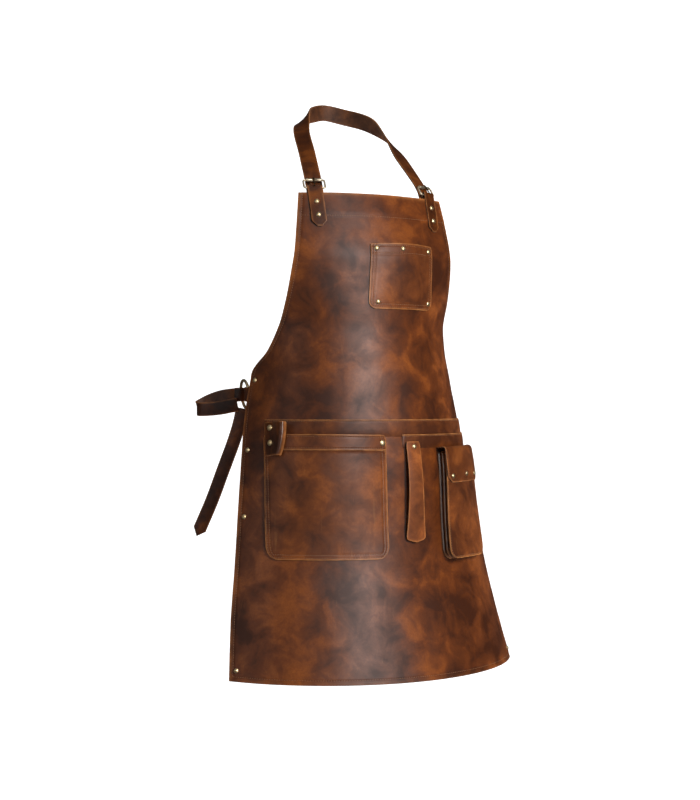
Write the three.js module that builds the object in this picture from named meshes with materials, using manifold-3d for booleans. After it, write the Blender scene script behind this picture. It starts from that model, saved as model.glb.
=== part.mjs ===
import * as THREE from 'three';
import { mergeVertices } from 'three/addons/utils/BufferGeometryUtils.js';
import Module from 'manifold-3d';

// Blacksmith's leather apron, in millimetres.
// The origin is where the neck strap rests behind the neck. +Z is up, the front faces -Y.

const wasm = await Module();
wasm.setup();

// Driving sizes of the apron sheet
const leather = 2.4;
const clearance = 0.3;
const lay = 0.65;
const apronLength = 842;
const hemHalfWidth = 333;
const skirtRadius = 340;
const hemForward = 135;
const neckDrop = 166.5;
const neckBack = 225;

// Sections of the sheet from the bib's top edge (drop 0) to the hem (drop 1).
// drop is a share of apronLength, radius of skirtRadius, half of hemHalfWidth,
// forward of hemForward. The side corners are at the seventh row.
const sections = [
  { drop: 0, radius: 0.847, half: 0.447, forward: 0 },
  { drop: 0.069, radius: 0.838, half: 0.48, forward: 0.13 },
  { drop: 0.141, radius: 0.765, half: 0.514, forward: 0.23 },
  { drop: 0.214, radius: 0.656, half: 0.55, forward: 0.225 },
  { drop: 0.276, radius: 0.577, half: 0.604, forward: 0.222 },
  { drop: 0.328, radius: 0.576, half: 0.688, forward: 0.265 },
  { drop: 0.378, radius: 0.591, half: 0.832, forward: 0.333 },
  { drop: 0.473, radius: 0.659, half: 0.868, forward: 0.407 },
  { drop: 0.574, radius: 0.738, half: 0.877, forward: 0.474 },
  { drop: 0.675, radius: 0.818, half: 0.886, forward: 0.51 },
  { drop: 0.773, radius: 0.882, half: 0.907, forward: 0.585 },
  { drop: 0.881, radius: 0.938, half: 0.955, forward: 0.76 },
  { drop: 1, radius: 1, half: 1, forward: 1 },
];
const cornerRow = 6;
const bodyColumns = 30;
const bodyRows = 26;
const bibRows = 11;

// Pockets, band and straps sewn on the sheet. across is measured round the sheet from
// the middle of the front, towards the viewer's right, and drop down from the bib's edge.
const panel = 2;
const sewnStep = panel + lay;
const chestPocket = { across: 33, drop: 91, topWidth: 132, bottomWidth: 141, height: 113, corner: 14, gape: 8 };
const mainPocket = { across: -130, drop: 425, topWidth: 218, bottomWidth: 216, height: 213, corner: 22, gape: 13 };
// Shape of a pocket's gape: belly is its share below the mouth, the powers round it off
const gapeShape = { belly: 0.35, side: 0.8, mouth: 1.3, body: 0.9 };
const waistBand = { left: -239, right: 276, drop: 398, height: 26 };
const toolRail = { left: 12, height: 20 };
const hammerStrap = {
  across: 32, drop: 437, topWidth: 28, bottomWidth: 41, height: 175, lift: 6, point: 9, flare: 2.4,
};
// inset and rise place the loop from the main pocket's left edge and its mouth
const toolLoop = { inset: 24, rise: 21, topWidth: 42, bottomWidth: 26, height: 58, foot: 20, arch: 13 };
toolLoop.across = mainPocket.across - mainPocket.topWidth / 2 + toolLoop.inset;
toolLoop.drop = mainPocket.drop - toolLoop.rise;
const cargoPocket = { across: 157, drop: 456, width: 124, height: 190, depthLeft: 19, depthRight: 13.5, corner: 20 };
const flap = { overlap: 3, height: 62, rise: 6, chamfer: 12 };

// Shoulder tabs, buckles and neck strap
const strapThickness = 3;
const strapWidth = 27;
const tab = { across: 117, width: 26, front: 61, back: 34, thickness: 2.2, point: 8, tip: 0.35 };
const buckle = { barRise: 9, height: 18, width: 37, wire: 2.6, roller: 6, lean: 18, tongue: 2.4 };
const strapTuck = 42;
const foldRadius = buckle.wire * Math.SQRT1_2 + clearance;
const tabSag = (tab.width * tab.width) / (8 * skirtRadius * sections[0].radius);

// Route of the neck strap from a buckle up to the middle of the back.
// aside is a share of tab.across, back of neckBack, rise of neckDrop, turn in degrees
// from lying flat on the chest to standing on edge behind the neck.
const neckRoute = [
  { aside: 0.849, back: 0.409, rise: 0.48, turn: 2 },
  { aside: 0.681, back: 0.689, rise: 0.811, turn: 34 },
  { aside: 0.47, back: 0.844, rise: 0.967, turn: 62 },
  { aside: 0.26, back: 0.955, rise: 1.045, turn: 80 },
];

// Rings at the waist and the side strap
const ring = { drop: 354, inset: 12, back: 39, radius: 25.5, wire: 4.6, turn: 6.5 };
const sideTab = { height: 26, length: 34, slack: 5, play: 1.7, thickness: 2 };
const sideStrap = {
  width: 25, thickness: 2.5, reach: 84, open: 16, tail: 226, sweep: 82, tip: 9, tuck: 5, turn: 41.3,
};

// Plan of the side strap's loop, from the fold round the ring out along its far side
// and back along its near side. out is a share of sideStrap.reach, near of
// sideStrap.open, fall of sideStrap.width.
const loopRoute = [
  { out: 0.1, near: -0.29, fall: 0.02 },
  { out: 0.3, near: -0.32, fall: 0.08 },
  { out: 0.48, near: -0.31, fall: 0.18 },
  { out: 0.72, near: -0.28, fall: 0.45 },
  { out: 0.9, near: -0.1, fall: 0.76 },
  { out: 0.99, near: 0.32, fall: 0.98 },
  { out: 0.94, near: 0.75, fall: 1.07 },
  { out: 0.81, near: 0.97, fall: 1.08 },
  { out: 0.6, near: 1, fall: 1.04 },
  { out: 0.39, near: 0.94, fall: 0.96 },
  { out: 0.18, near: 0.85, fall: 0.82 },
  { out: 0.036, near: 0.8, fall: 0.74 },
];

// Hanging end of the side strap. fall is a share of sideStrap.tail, out of sideStrap.sweep.
const tailRoute = [
  { fall: 0, out: 0 },
  { fall: 0.12, out: 0.07 },
  { fall: 0.26, out: 0.19 },
  { fall: 0.5, out: 0.44 },
  { fall: 0.75, out: 0.7 },
  { fall: 1, out: 1 },
];

// Rivets
const rivet = { radius: 4.8, height: 2.6, sides: 10, edge: 14, seat: 0.7, rim: 0.3, crown: 0.7, shoulder: 0.8 };
const sideRivetDrops = [329, 452, 567, 824];
const tabRivetDrops = [17, 41];
// Rivets through the sewn pieces. across is a share of the piece's width from its middle,
// down a share of its height from its top edge.
const rivetTable = [
  { name: 'rivet_chest_top_left', face: 'chest', across: -0.424, down: 0.071 },
  { name: 'rivet_chest_top_middle', face: 'chest', across: -0.061, down: 0.08 },
  { name: 'rivet_chest_top_right', face: 'chest', across: 0.402, down: 0.088 },
  { name: 'rivet_chest_low_left', face: 'chest', across: -0.402, down: 0.894 },
  { name: 'rivet_chest_low_right', face: 'chest', across: 0.455, down: 0.894 },
  { name: 'rivet_main_right', face: 'main', across: 0.468, down: 0.066 },
  { name: 'rivet_loop_top', face: 'loop', across: -0.262, down: 0.172 },
  { name: 'rivet_loop_low', face: 'loop', across: -0.262, down: 0.621 },
  { name: 'rivet_hammer', face: 'hammer', across: 0, down: 0.051 },
  { name: 'rivet_flap_left', face: 'flap', across: -0.387, down: 0.232 },
  { name: 'rivet_flap_middle', face: 'flap', across: 0, down: 0.221 },
  { name: 'rivet_flap_right', face: 'flap', across: 0.387, down: 0.232 },
];

const colours = {
  hide: { color: 0x6b3a22, roughness: 0.5, metalness: 0 },
  trim: { color: 0x5a2d18, roughness: 0.5, metalness: 0 },
  brass: { color: 0x9c8560, roughness: 0.35, metalness: 1 },
};

const apron = new THREE.Group();

// Value of one column of the section table at a distance below the bib's edge,
// on a curve that keeps each row and never overshoots it.
function sectionValue(column, drop) {
  const at = drop / apronLength;
  const last = sections.length - 1;
  let row = 0;
  while (row < last - 1 && at > sections[row + 1].drop) row += 1;
  const step = (i) => sections[i + 1].drop - sections[i].drop;
  const rate = (i) => (sections[i + 1][column] - sections[i][column]) / step(i);
  const slope = (i) => {
    if (i === 0) return rate(0);
    if (i === last) return rate(last - 1);
    const product = rate(i - 1) * rate(i);
    return product > 0 ? (2 * product) / (rate(i - 1) + rate(i)) : 0;
  };
  const width = step(row);
  const t = (at - sections[row].drop) / width;
  if (t < 0) return sections[row][column] + slope(row) * width * t;
  if (t > 1) return sections[row + 1][column] + slope(row + 1) * width * (t - 1);
  const blend = t * t * (3 - 2 * t);
  return sections[row][column] * (1 - blend) + sections[row + 1][column] * blend
    + slope(row) * width * t * (1 - t) * (1 - t) - slope(row + 1) * width * t * t * (1 - t);
}

function halfWidth(drop) {
  return hemHalfWidth * sectionValue('half', drop);
}

// Point on the outer face of the sheet
function sheetPoint(across, drop) {
  const radius = skirtRadius * sectionValue('radius', drop);
  const forward = hemForward * sectionValue('forward', drop);
  const angle = across / radius;
  return new THREE.Vector3(
    radius * Math.sin(angle),
    radius * (1 - Math.cos(angle)) - forward - neckBack,
    -neckDrop - drop,
  );
}

// Outward normal of the sheet
function sheetNormal(across, drop) {
  const step = 0.5;
  const round = sheetPoint(across + step, drop).sub(sheetPoint(across - step, drop));
  const down = sheetPoint(across, drop + step).sub(sheetPoint(across, drop - step));
  return down.cross(round).normalize();
}

// Point at a height above the sheet's outer face, or below it if out is negative
function onSheet(across, drop, out) {
  return sheetPoint(across, drop).addScaledVector(sheetNormal(across, drop), out);
}

// Closed geometry with its vertices merged, from a geometry and a map of its vertices
function bend(geometry, map) {
  geometry.deleteAttribute('normal');
  geometry.deleteAttribute('uv');
  const shape = mergeVertices(geometry, 1e-4);
  const places = shape.attributes.position;
  const point = new THREE.Vector3();
  for (let i = 0; i < places.count; i += 1) {
    point.fromBufferAttribute(places, i);
    const placed = map(point);
    places.setXYZ(i, placed.x, placed.y, placed.z);
  }
  return facingOut(shape);
}

// Turns every triangle round where a map has mirrored the shape
function facingOut(shape) {
  const places = shape.attributes.position;
  const index = shape.index;
  const [a, b, c] = [new THREE.Vector3(), new THREE.Vector3(), new THREE.Vector3()];
  let volume = 0;
  for (let i = 0; i < index.count; i += 3) {
    a.fromBufferAttribute(places, index.getX(i));
    b.fromBufferAttribute(places, index.getX(i + 1));
    c.fromBufferAttribute(places, index.getX(i + 2));
    volume += a.dot(b.cross(c));
  }
  if (volume > 0) return shape;
  for (let i = 0; i < index.count; i += 3) {
    const first = index.getX(i);
    index.setX(i, index.getX(i + 1));
    index.setX(i + 1, first);
  }
  return shape;
}

// Adds a closed geometry to the apron as a named piece
function addPiece(name, geometry, finish) {
  geometry.computeVertexNormals();
  const mesh = new THREE.Mesh(geometry, new THREE.MeshStandardMaterial(colours[finish]));
  mesh.name = name;
  apron.add(mesh);
  return mesh;
}

// Piece laid on the sheet. outline(v) gives left and right limits and the drop of row v,
// low(u, v) and high(u, v) the heights of its two faces, with u and v from 0 to 1.
function sheetBlock(columns, rows, outline, low, high) {
  const block = new THREE.BoxGeometry(1, 1, 1, columns, rows, 1);
  return bend(block, (p) => {
    const u = p.x + 0.5;
    const v = 0.5 - p.y;
    const edge = outline(v);
    const across = THREE.MathUtils.lerp(edge.left, edge.right, u);
    const out = p.z > 0 ? high(u, v) : low(u, v);
    return onSheet(across, edge.drop + (edge.sag ? edge.sag(u) : 0), out);
  });
}

// Leather panel of one thickness laid on the sheet
function sheetPanel(columns, rows, thickness, outline, lift) {
  return sheetBlock(columns, rows, outline, lift, (u, v) => lift(u, v) + thickness);
}

// Outline of a pocket that narrows to round lower corners. The last rows are spent on them.
function pocketOutline(size, rows, cornerRows) {
  const straight = size.height - size.corner;
  return (v) => {
    const row = Math.round(v * rows);
    const bodyRows = rows - cornerRows;
    let down = straight * (row / bodyRows);
    let inset = 0;
    if (row > bodyRows) {
      const angle = ((row - bodyRows) / cornerRows) * (Math.PI / 2);
      down = straight + size.corner * Math.sin(angle);
      inset = size.corner * (1 - Math.cos(angle));
    }
    const half = THREE.MathUtils.lerp(size.topWidth, size.bottomWidth, down / size.height) / 2 - inset;
    return { left: size.across - half, right: size.across + half, drop: size.drop + down };
  };
}

// Height of a pocket's underside: sewn flat round three sides, open at the mouth
function pocketLift(gape) {
  const { belly } = gapeShape;
  return (u, v) => {
    const side = Math.pow(Math.sin(Math.PI * u), gapeShape.side);
    const mouth = Math.pow(1 - v, gapeShape.mouth);
    const body = Math.pow(Math.sin((Math.PI * (1 + v)) / 2), gapeShape.body);
    return lay + gape * side * (mouth * (1 - belly) + belly * body);
  };
}

// Height of a pocket's outer face at a place on the sheet, kept level above its mouth
function faceHeight(pocket, across, drop) {
  const v = THREE.MathUtils.clamp((drop - pocket.drop) / pocket.height, 0, 1);
  const width = THREE.MathUtils.lerp(pocket.topWidth, pocket.bottomWidth, v);
  const u = THREE.MathUtils.clamp((across - pocket.across) / width + 0.5, 0, 1);
  return pocketLift(pocket.gape)(u, v) + panel;
}

// Row positions that keep one row on the side corners of the sheet
function sheetRow(v) {
  const cornerDrop = sections[cornerRow].drop;
  const row = Math.round(v * bodyRows);
  if (row <= bibRows) return (cornerDrop * row) / bibRows;
  return cornerDrop + ((1 - cornerDrop) * (row - bibRows)) / (bodyRows - bibRows);
}

function apronBody() {
  const outline = (v) => {
    const drop = apronLength * sheetRow(v);
    return { left: -halfWidth(drop), right: halfWidth(drop), drop };
  };
  addPiece('apron_body', sheetPanel(bodyColumns, bodyRows, leather, outline, () => -leather), 'hide');
}

function bands() {
  const band = (v) => ({
    left: waistBand.left,
    right: waistBand.right,
    drop: waistBand.drop + waistBand.height * v,
  });
  addPiece('waist_band', sheetPanel(26, 2, panel, band, () => lay), 'hide');
  const railDrop = waistBand.drop + waistBand.height + clearance;
  const rail = (v) => ({
    left: toolRail.left,
    right: waistBand.right,
    drop: railDrop + toolRail.height * v,
  });
  addPiece('tool_rail', sheetPanel(14, 2, panel, rail, () => lay), 'hide');
}

function pockets() {
  const chestRows = 10;
  const chest = pocketOutline(chestPocket, chestRows, 3);
  addPiece('chest_pocket', sheetPanel(12, chestRows, panel, chest, pocketLift(chestPocket.gape)), 'hide');
  const mainRows = 12;
  const main = pocketOutline(mainPocket, mainRows, 3);
  addPiece('main_pocket', sheetPanel(18, mainRows, panel, main, pocketLift(mainPocket.gape)), 'hide');
}

// Strap for a hammer: riveted at its top on the rail, wider and pointed at its free end
function hammerPiece() {
  const strap = (v) => {
    const flare = Math.pow(v, hammerStrap.flare);
    const half = THREE.MathUtils.lerp(hammerStrap.topWidth, hammerStrap.bottomWidth, flare) / 2;
    const sag = (u) => (v === 1 ? hammerStrap.point * (1 - Math.abs(2 * u - 1)) : 0);
    return {
      left: hammerStrap.across - half,
      right: hammerStrap.across + half,
      drop: hammerStrap.drop + (hammerStrap.height - hammerStrap.point) * v,
      sag,
    };
  };
  addPiece('hammer_strap', sheetPanel(4, 14, panel, strap, (u, v) => hammerLift(v)), 'trim');
}

// Height of the hammer strap's underside at a share of its length
function hammerLift(v) {
  return sewnStep + lay + hammerStrap.lift * Math.sin(Math.PI * THREE.MathUtils.clamp(v, 0, 1));
}

// Small loop riveted beside the main pocket: a flat foot and an arch open at both ends
function loopPiece() {
  const outline = (v) => {
    const width = THREE.MathUtils.lerp(toolLoop.topWidth, toolLoop.bottomWidth, v * v);
    const left = toolLoop.across - toolLoop.topWidth / 2;
    return { left, right: left + width, drop: toolLoop.drop + toolLoop.height * v };
  };
  const footShare = toolLoop.foot / toolLoop.topWidth;
  const lift = (u, v) => {
    const edge = outline(v);
    const across = THREE.MathUtils.lerp(edge.left, edge.right, u);
    const arch = u > footShare ? Math.sin((Math.PI * (u - footShare)) / (1 - footShare)) : 0;
    return faceHeight(mainPocket, across, edge.drop) + lay + toolLoop.arch * arch;
  };
  addPiece('tool_loop', sheetPanel(14, 4, panel, outline, lift), 'trim');
}

// Solid of the boolean library from a closed geometry, and back
function toSolid(geometry) {
  const vertProperties = new Float32Array(geometry.attributes.position.array);
  const triVerts = new Uint32Array(geometry.index.array);
  return new wasm.Manifold(new wasm.Mesh({ numProp: 3, vertProperties, triVerts }));
}

function toGeometry(solid) {
  const mesh = solid.getMesh();
  const geometry = new THREE.BufferGeometry();
  geometry.setAttribute('position', new THREE.BufferAttribute(new Float32Array(mesh.vertProperties), 3));
  geometry.setIndex(new THREE.BufferAttribute(new Uint32Array(mesh.triVerts), 1));
  return geometry;
}

// Height of the cargo pocket's front at a share of its width: it is flatter than the sheet
function cargoDepth(u) {
  return THREE.MathUtils.lerp(cargoPocket.depthLeft, cargoPocket.depthRight, u);
}

// The same height at a place round the sheet
function cargoFace(across) {
  return cargoDepth((across - cargoPocket.across) / cargoPocket.width + 0.5);
}

// Cargo pocket: front and gusset in one shell, open at the top and towards the sheet
function cargoPiece() {
  const rows = 10;
  const outer = { ...cargoPocket, topWidth: cargoPocket.width, bottomWidth: cargoPocket.width };
  const above = 20;
  const behind = 6;
  const inner = {
    ...outer,
    topWidth: outer.topWidth - 2 * panel,
    bottomWidth: outer.bottomWidth - 2 * panel,
    drop: outer.drop - above,
    height: outer.height + above - panel,
    corner: outer.corner - panel,
  };
  const block = (size, low, high) => toSolid(sheetBlock(10, rows, pocketOutline(size, rows, 3), low, high));
  const hollow = block(inner, () => -behind, (u) => cargoDepth(u) - panel);
  const shell = block(outer, () => lay, cargoDepth).subtract(hollow);
  addPiece('cargo_pocket', toGeometry(shell), 'hide');
}

// Flap: sewn to the sheet above the cargo pocket and folded down over its front
function flapPiece() {
  const hinge = cargoPocket.drop - flap.rise - clearance;
  const half = cargoPocket.width / 2 + flap.overlap;
  const bendRows = 5;
  const rows = 8;
  const block = new THREE.BoxGeometry(1, 1, 1, 12, rows, 1);
  const shape = bend(block, (p) => {
    const row = Math.round((0.5 - p.y) * rows);
    const skin = p.z > 0 ? panel : 0;
    const side = row === rows ? half - flap.chamfer : half;
    const across = cargoPocket.across + 2 * p.x * side;
    let drop = hinge - skin;
    let out = lay;
    if (row > 0) {
      const angle = Math.min(1, (row - 1) / bendRows) * (Math.PI / 2);
      out = cargoFace(across) + lay - flap.rise + (flap.rise + skin) * Math.sin(angle);
      drop = hinge + flap.rise - (flap.rise + skin) * Math.cos(angle);
    }
    if (row > bendRows + 1) {
      const fall = (row - bendRows - 1) / (rows - bendRows - 1);
      drop = hinge + THREE.MathUtils.lerp(flap.rise, flap.height, fall);
    }
    return onSheet(across, drop, out);
  });
  addPiece('pocket_flap', shape, 'hide');
}

// Axes at a shoulder tab: point on the bib's top edge, middle of its thickness
function tabFrame(side) {
  const across = side * tab.across;
  const origin = onSheet(across, 0, -leather / 2);
  const round = sheetPoint(across + 1, 0).sub(sheetPoint(across - 1, 0)).normalize();
  const out = sheetNormal(across, 0);
  const up = sheetPoint(across, -1).sub(sheetPoint(across, 0)).normalize();
  return { origin, round, out, up };
}

// Place at a shoulder tab: a round the sheet, b out from the middle of its thickness, c up
function atTab(side, a, b, c) {
  return onSheet(side * tab.across + a, -c, b - leather / 2);
}

function inFrame(frame, a, b, c) {
  return frame.origin.clone()
    .addScaledVector(frame.round, a)
    .addScaledVector(frame.out, b)
    .addScaledVector(frame.up, c);
}

// Leather tab folded over the buckle's bar, one leg on each face of the bib
function shoulderTab(side, name) {
  const inner = foldRadius;
  const outer = inner + tab.thickness;
  const profile = new THREE.Shape();
  profile.moveTo(outer, -tab.front);
  profile.lineTo(outer, buckle.barRise);
  profile.absarc(0, buckle.barRise, outer, 0, Math.PI, false);
  profile.lineTo(-outer, -tab.back);
  profile.lineTo(-inner, -tab.back);
  profile.lineTo(-inner, buckle.barRise);
  profile.absarc(0, buckle.barRise, inner, Math.PI, 0, true);
  profile.lineTo(inner, -tab.front);
  profile.closePath();
  const fold = new THREE.ExtrudeGeometry(profile, { depth: tab.width, bevelEnabled: false, curveSegments: 6 });
  const folded = bend(fold, (p) => new THREE.Vector3(p.z - tab.width / 2, p.x, p.y));
  const half = tab.width / 2;
  const tip = new THREE.Shape();
  tip.moveTo(-half, -tab.front + tab.point);
  tip.lineTo(-half * tab.tip, -tab.front);
  tip.lineTo(half * tab.tip, -tab.front);
  tip.lineTo(half, -tab.front + tab.point);
  tip.lineTo(half, buckle.barRise + 2 * outer);
  tip.lineTo(-half, buckle.barRise + 2 * outer);
  tip.closePath();
  const cutDepth = 4 * outer;
  const cut = new THREE.ExtrudeGeometry(tip, { depth: cutDepth, bevelEnabled: false });
  const cutter = bend(cut, (p) => new THREE.Vector3(p.x, cutDepth / 2 - p.z, p.y));
  const shaped = toGeometry(toSolid(folded).intersect(toSolid(cutter)));
  addPiece(name, bend(shaped, (p) => atTab(side, p.x, p.y, p.z)), 'trim');
}

// Axes of a buckle: the bar in the tab's fold, the frame leaning back over it
function buckleFrame(side) {
  const frame = tabFrame(side);
  const lean = THREE.MathUtils.degToRad(buckle.lean);
  const bar = inFrame(frame, 0, 0, buckle.barRise);
  const up = frame.up.clone().multiplyScalar(Math.cos(lean)).addScaledVector(frame.out, -Math.sin(lean));
  const out = frame.out.clone().multiplyScalar(Math.cos(lean)).addScaledVector(frame.up, Math.sin(lean));
  return { origin: bar, round: frame.round, out, up };
}

function buckleSet(side, word) {
  const frame = buckleFrame(side);
  const wire = buckle.wire / 2;
  const half = buckle.width / 2;
  // The frame is one bent wire: a rounded rectangle with its hole
  const round = buckle.wire;
  const outline = (grow, Path) => {
    const path = new Path();
    const x = half - wire + grow;
    const low = -grow;
    const high = buckle.height + grow;
    const turn = round + grow;
    path.moveTo(-x + turn, low);
    path.lineTo(x - turn, low);
    path.absarc(x - turn, low + turn, turn, -Math.PI / 2, 0, false);
    path.absarc(x - turn, high - turn, turn, 0, Math.PI / 2, false);
    path.absarc(-x + turn, high - turn, turn, Math.PI / 2, Math.PI, false);
    path.absarc(-x + turn, low + turn, turn, Math.PI, 1.5 * Math.PI, false);
    return path;
  };
  const face = outline(wire, THREE.Shape);
  face.holes.push(outline(-wire, THREE.Path));
  const solid = new THREE.ExtrudeGeometry(face, { depth: buckle.wire, bevelEnabled: false, curveSegments: 3 });
  addPiece(`buckle_frame_${word}`, bend(solid, (p) => inFrame(frame, p.x, wire - p.z, p.y)), 'brass');
}

// Roller of a buckle: a tube round the frame's top bar
function buckleRoller(side, word) {
  const frame = buckleFrame(side);
  const bore = foldRadius;
  const half = buckle.width / 2 - 2 * buckle.wire - clearance;
  const wall = [
    new THREE.Vector2(bore, -half),
    new THREE.Vector2(buckle.roller / 2, -half),
    new THREE.Vector2(buckle.roller / 2, half),
    new THREE.Vector2(bore, half),
    new THREE.Vector2(bore, -half),
  ];
  const tube = new THREE.LatheGeometry(wall, 12);
  addPiece(`buckle_roller_${word}`, bend(tube, (p) => inFrame(frame, p.y, p.x, buckle.height + p.z)), 'brass');
}

// Tongue of a buckle: from the bar, in front of the frame, to rest over the top bar
function buckleTongue(side, word) {
  const frame = buckleFrame(side);
  const thick = buckle.tongue;
  const low = foldRadius + tab.thickness + clearance;
  const high = buckle.roller / 2 + clearance;
  const path = new THREE.Shape();
  path.moveTo(low, 0);
  path.lineTo(low + thick, 0);
  path.lineTo(high + thick, buckle.height + buckle.roller / 2);
  path.lineTo(high, buckle.height + buckle.roller / 2);
  path.closePath();
  const solid = new THREE.ExtrudeGeometry(path, { depth: thick, bevelEnabled: false });
  const shape = bend(solid, (p) => inFrame(frame, p.z - thick / 2, p.x, p.y));
  addPiece(`buckle_tongue_${word}`, shape, 'brass');
}

// Flat strap along a route of points, each with the direction of the strap's width
function strapAlong(route, width, thickness, pieces, pointed) {
  const spine = new THREE.CatmullRomCurve3(route.map((r) => r.at), false, 'centripetal');
  const spread = new THREE.CatmullRomCurve3(route.map((r) => r.side), false, 'centripetal');
  const block = new THREE.BoxGeometry(1, 1, 1, pieces, pointed ? 2 : 1, 1);
  return bend(block, (p) => {
    const t = p.x + 0.5;
    const at = spine.getPoint(t);
    const along = spine.getTangent(t);
    const side = spread.getPoint(t);
    side.addScaledVector(along, -side.dot(along)).normalize();
    const face = along.clone().cross(side);
    const tip = pointed && t === 1 && p.y === 0 ? pointed : 0;
    return at.addScaledVector(side, p.y * width)
      .addScaledVector(face, p.z * thickness)
      .addScaledVector(along, tip);
  });
}

// Half of the neck strap's route, from its hidden end up to the last point before the back
function neckHalf(side) {
  const low = tabFrame(side);
  const high = buckleFrame(side);
  const outward = low.round.clone().multiplyScalar(side);
  const behind = foldRadius + tab.thickness + strapThickness / 2 + lay + clearance;
  const behindRoller = buckle.roller / 2 + strapThickness / 2 + clearance;
  const route = [
    { at: atTab(side, 0, -behind, -strapTuck), side: outward },
    { at: atTab(side, 0, -behind, -strapTuck / 2), side: outward },
    { at: atTab(side, 0, -behind, 0), side: outward },
    { at: inFrame(high, 0, -behind, 0), side: outward },
    { at: inFrame(high, 0, -behindRoller, buckle.height), side: outward },
  ];
  const down = new THREE.Vector3(0, 0, -1);
  for (const row of neckRoute) {
    const turn = THREE.MathUtils.degToRad(row.turn);
    route.push({
      at: new THREE.Vector3(
        side * row.aside * tab.across,
        row.back * neckBack - neckBack,
        row.rise * neckDrop - neckDrop,
      ),
      side: outward.clone().multiplyScalar(Math.cos(turn)).addScaledVector(down, Math.sin(turn)),
    });
  }
  return route;
}

function neckStrap() {
  const left = neckHalf(-1);
  const right = neckHalf(1).reverse();
  const middle = { at: new THREE.Vector3(0, strapThickness / 2, strapWidth / 2), side: new THREE.Vector3(0, 0, -1) };
  addPiece('neck_strap', strapAlong([...left, middle, ...right], strapWidth, strapThickness, 64, 0), 'trim');
}

// Axes at a ring: its middle, the direction away from the sheet's edge, and up
function ringFrame(side) {
  const edge = sheetPoint(side * halfWidth(ring.drop), ring.drop);
  const turn = THREE.MathUtils.degToRad(ring.turn);
  const origin = new THREE.Vector3(edge.x - side * ring.inset, edge.y + ring.back, edge.z);
  const round = new THREE.Vector3(-side * Math.sin(turn), Math.cos(turn), 0);
  const out = new THREE.Vector3(side * Math.cos(turn), Math.sin(turn), 0);
  return { origin, round, out, up: new THREE.Vector3(0, 0, 1) };
}

function ringPiece(side, word) {
  const frame = ringFrame(side);
  const torus = new THREE.TorusGeometry(ring.radius, ring.wire / 2, 6, 28);
  addPiece(`side_ring_${word}`, bend(torus, (p) => inFrame(frame, p.x, -side * p.z, p.y)), 'brass');
}

// Leather tab on the inner face of the sheet, folded round the ring's front
function ringTab(side, word) {
  const frame = ringFrame(side);
  const hole = ring.wire / 2 + sideTab.play;
  const outer = hole + sideTab.thickness;
  const inward = side * (halfWidth(ring.drop) - sideTab.length);
  const nearAt = (up) => inFrame(frame, -ring.radius, 0, up);
  const farAt = (up) => onSheet(inward, ring.drop - up, -leather - lay - outer);
  const length = nearAt(0).distanceTo(farAt(0));
  const shape = new THREE.Shape();
  shape.moveTo(length, outer);
  shape.lineTo(-sideTab.slack, outer);
  shape.absarc(-sideTab.slack, 0, outer, Math.PI / 2, 1.5 * Math.PI, false);
  shape.lineTo(length, -outer);
  shape.closePath();
  const eye = new THREE.Path();
  eye.moveTo(2 * outer, hole);
  eye.lineTo(-sideTab.slack, hole);
  eye.absarc(-sideTab.slack, 0, hole, Math.PI / 2, 1.5 * Math.PI, false);
  eye.lineTo(2 * outer, -hole);
  eye.closePath();
  shape.holes.push(eye);
  const depth = sideTab.height;
  const solid = new THREE.ExtrudeGeometry(shape, { depth, steps: 4, bevelEnabled: false, curveSegments: 5 });
  addPiece(`side_tab_${word}`, bend(solid, (p) => {
    const up = p.z - depth / 2;
    const near = nearAt(up);
    const along = farAt(up).sub(near).multiplyScalar(1 / length);
    const across = new THREE.Vector3(-along.y, along.x, 0).normalize();
    return near.addScaledVector(along, p.x).addScaledVector(across, p.y);
  }), 'trim');
}

// Directions of the side strap: away behind the ring, and towards the front
function strapAxes() {
  const frame = ringFrame(-1);
  const heading = THREE.MathUtils.degToRad(sideStrap.turn);
  const away = new THREE.Vector3(-Math.cos(heading), Math.sin(heading), 0);
  const near = new THREE.Vector3(-away.y, away.x, 0);
  const wireBack = inFrame(frame, ring.radius, 0, 0);
  return { frame, away, near, wireBack };
}

// Point behind the ring: a away from its rear, c towards the front, up above its middle
function atStrap(axes, a, c, up) {
  return axes.wireBack.clone()
    .addScaledVector(axes.away, a)
    .addScaledVector(axes.near, c)
    .addScaledVector(new THREE.Vector3(0, 0, 1), up);
}

// Fold round the ring's rear. The ring bows away from it over the strap's width.
function strapFold(axes) {
  const half = sideStrap.width / 2;
  const bow = ring.radius - Math.sqrt(ring.radius * ring.radius - half * half);
  const inward = axes.frame.round.clone().multiplyScalar(-bow / 2);
  const a = inward.dot(axes.away);
  const c = inward.dot(axes.near);
  const radius = (ring.wire + bow + sideStrap.thickness) / 2 + lay;
  return { a, c, radius, front: c + radius };
}

function sideStrapLoop() {
  const axes = strapAxes();
  const fold = strapFold(axes);
  const up = new THREE.Vector3(0, 0, 1);
  const route = [{ at: atStrap(axes, fold.a + 2 * fold.radius, fold.front, 0), side: up }];
  const steps = 6;
  for (let i = 0; i <= steps; i += 1) {
    const angle = Math.PI / 2 + (Math.PI * i) / steps;
    const a = fold.a + fold.radius * Math.cos(angle);
    const c = fold.c + fold.radius * Math.sin(angle);
    route.push({ at: atStrap(axes, a, c, 0), side: up });
  }
  for (const row of loopRoute) {
    route.push({
      at: atStrap(axes, row.out * sideStrap.reach, row.near * sideStrap.open, -row.fall * sideStrap.width),
      side: up,
    });
  }
  addPiece('side_strap', strapAlong(route, sideStrap.width, sideStrap.thickness, 44, 0), 'trim');
}

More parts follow.
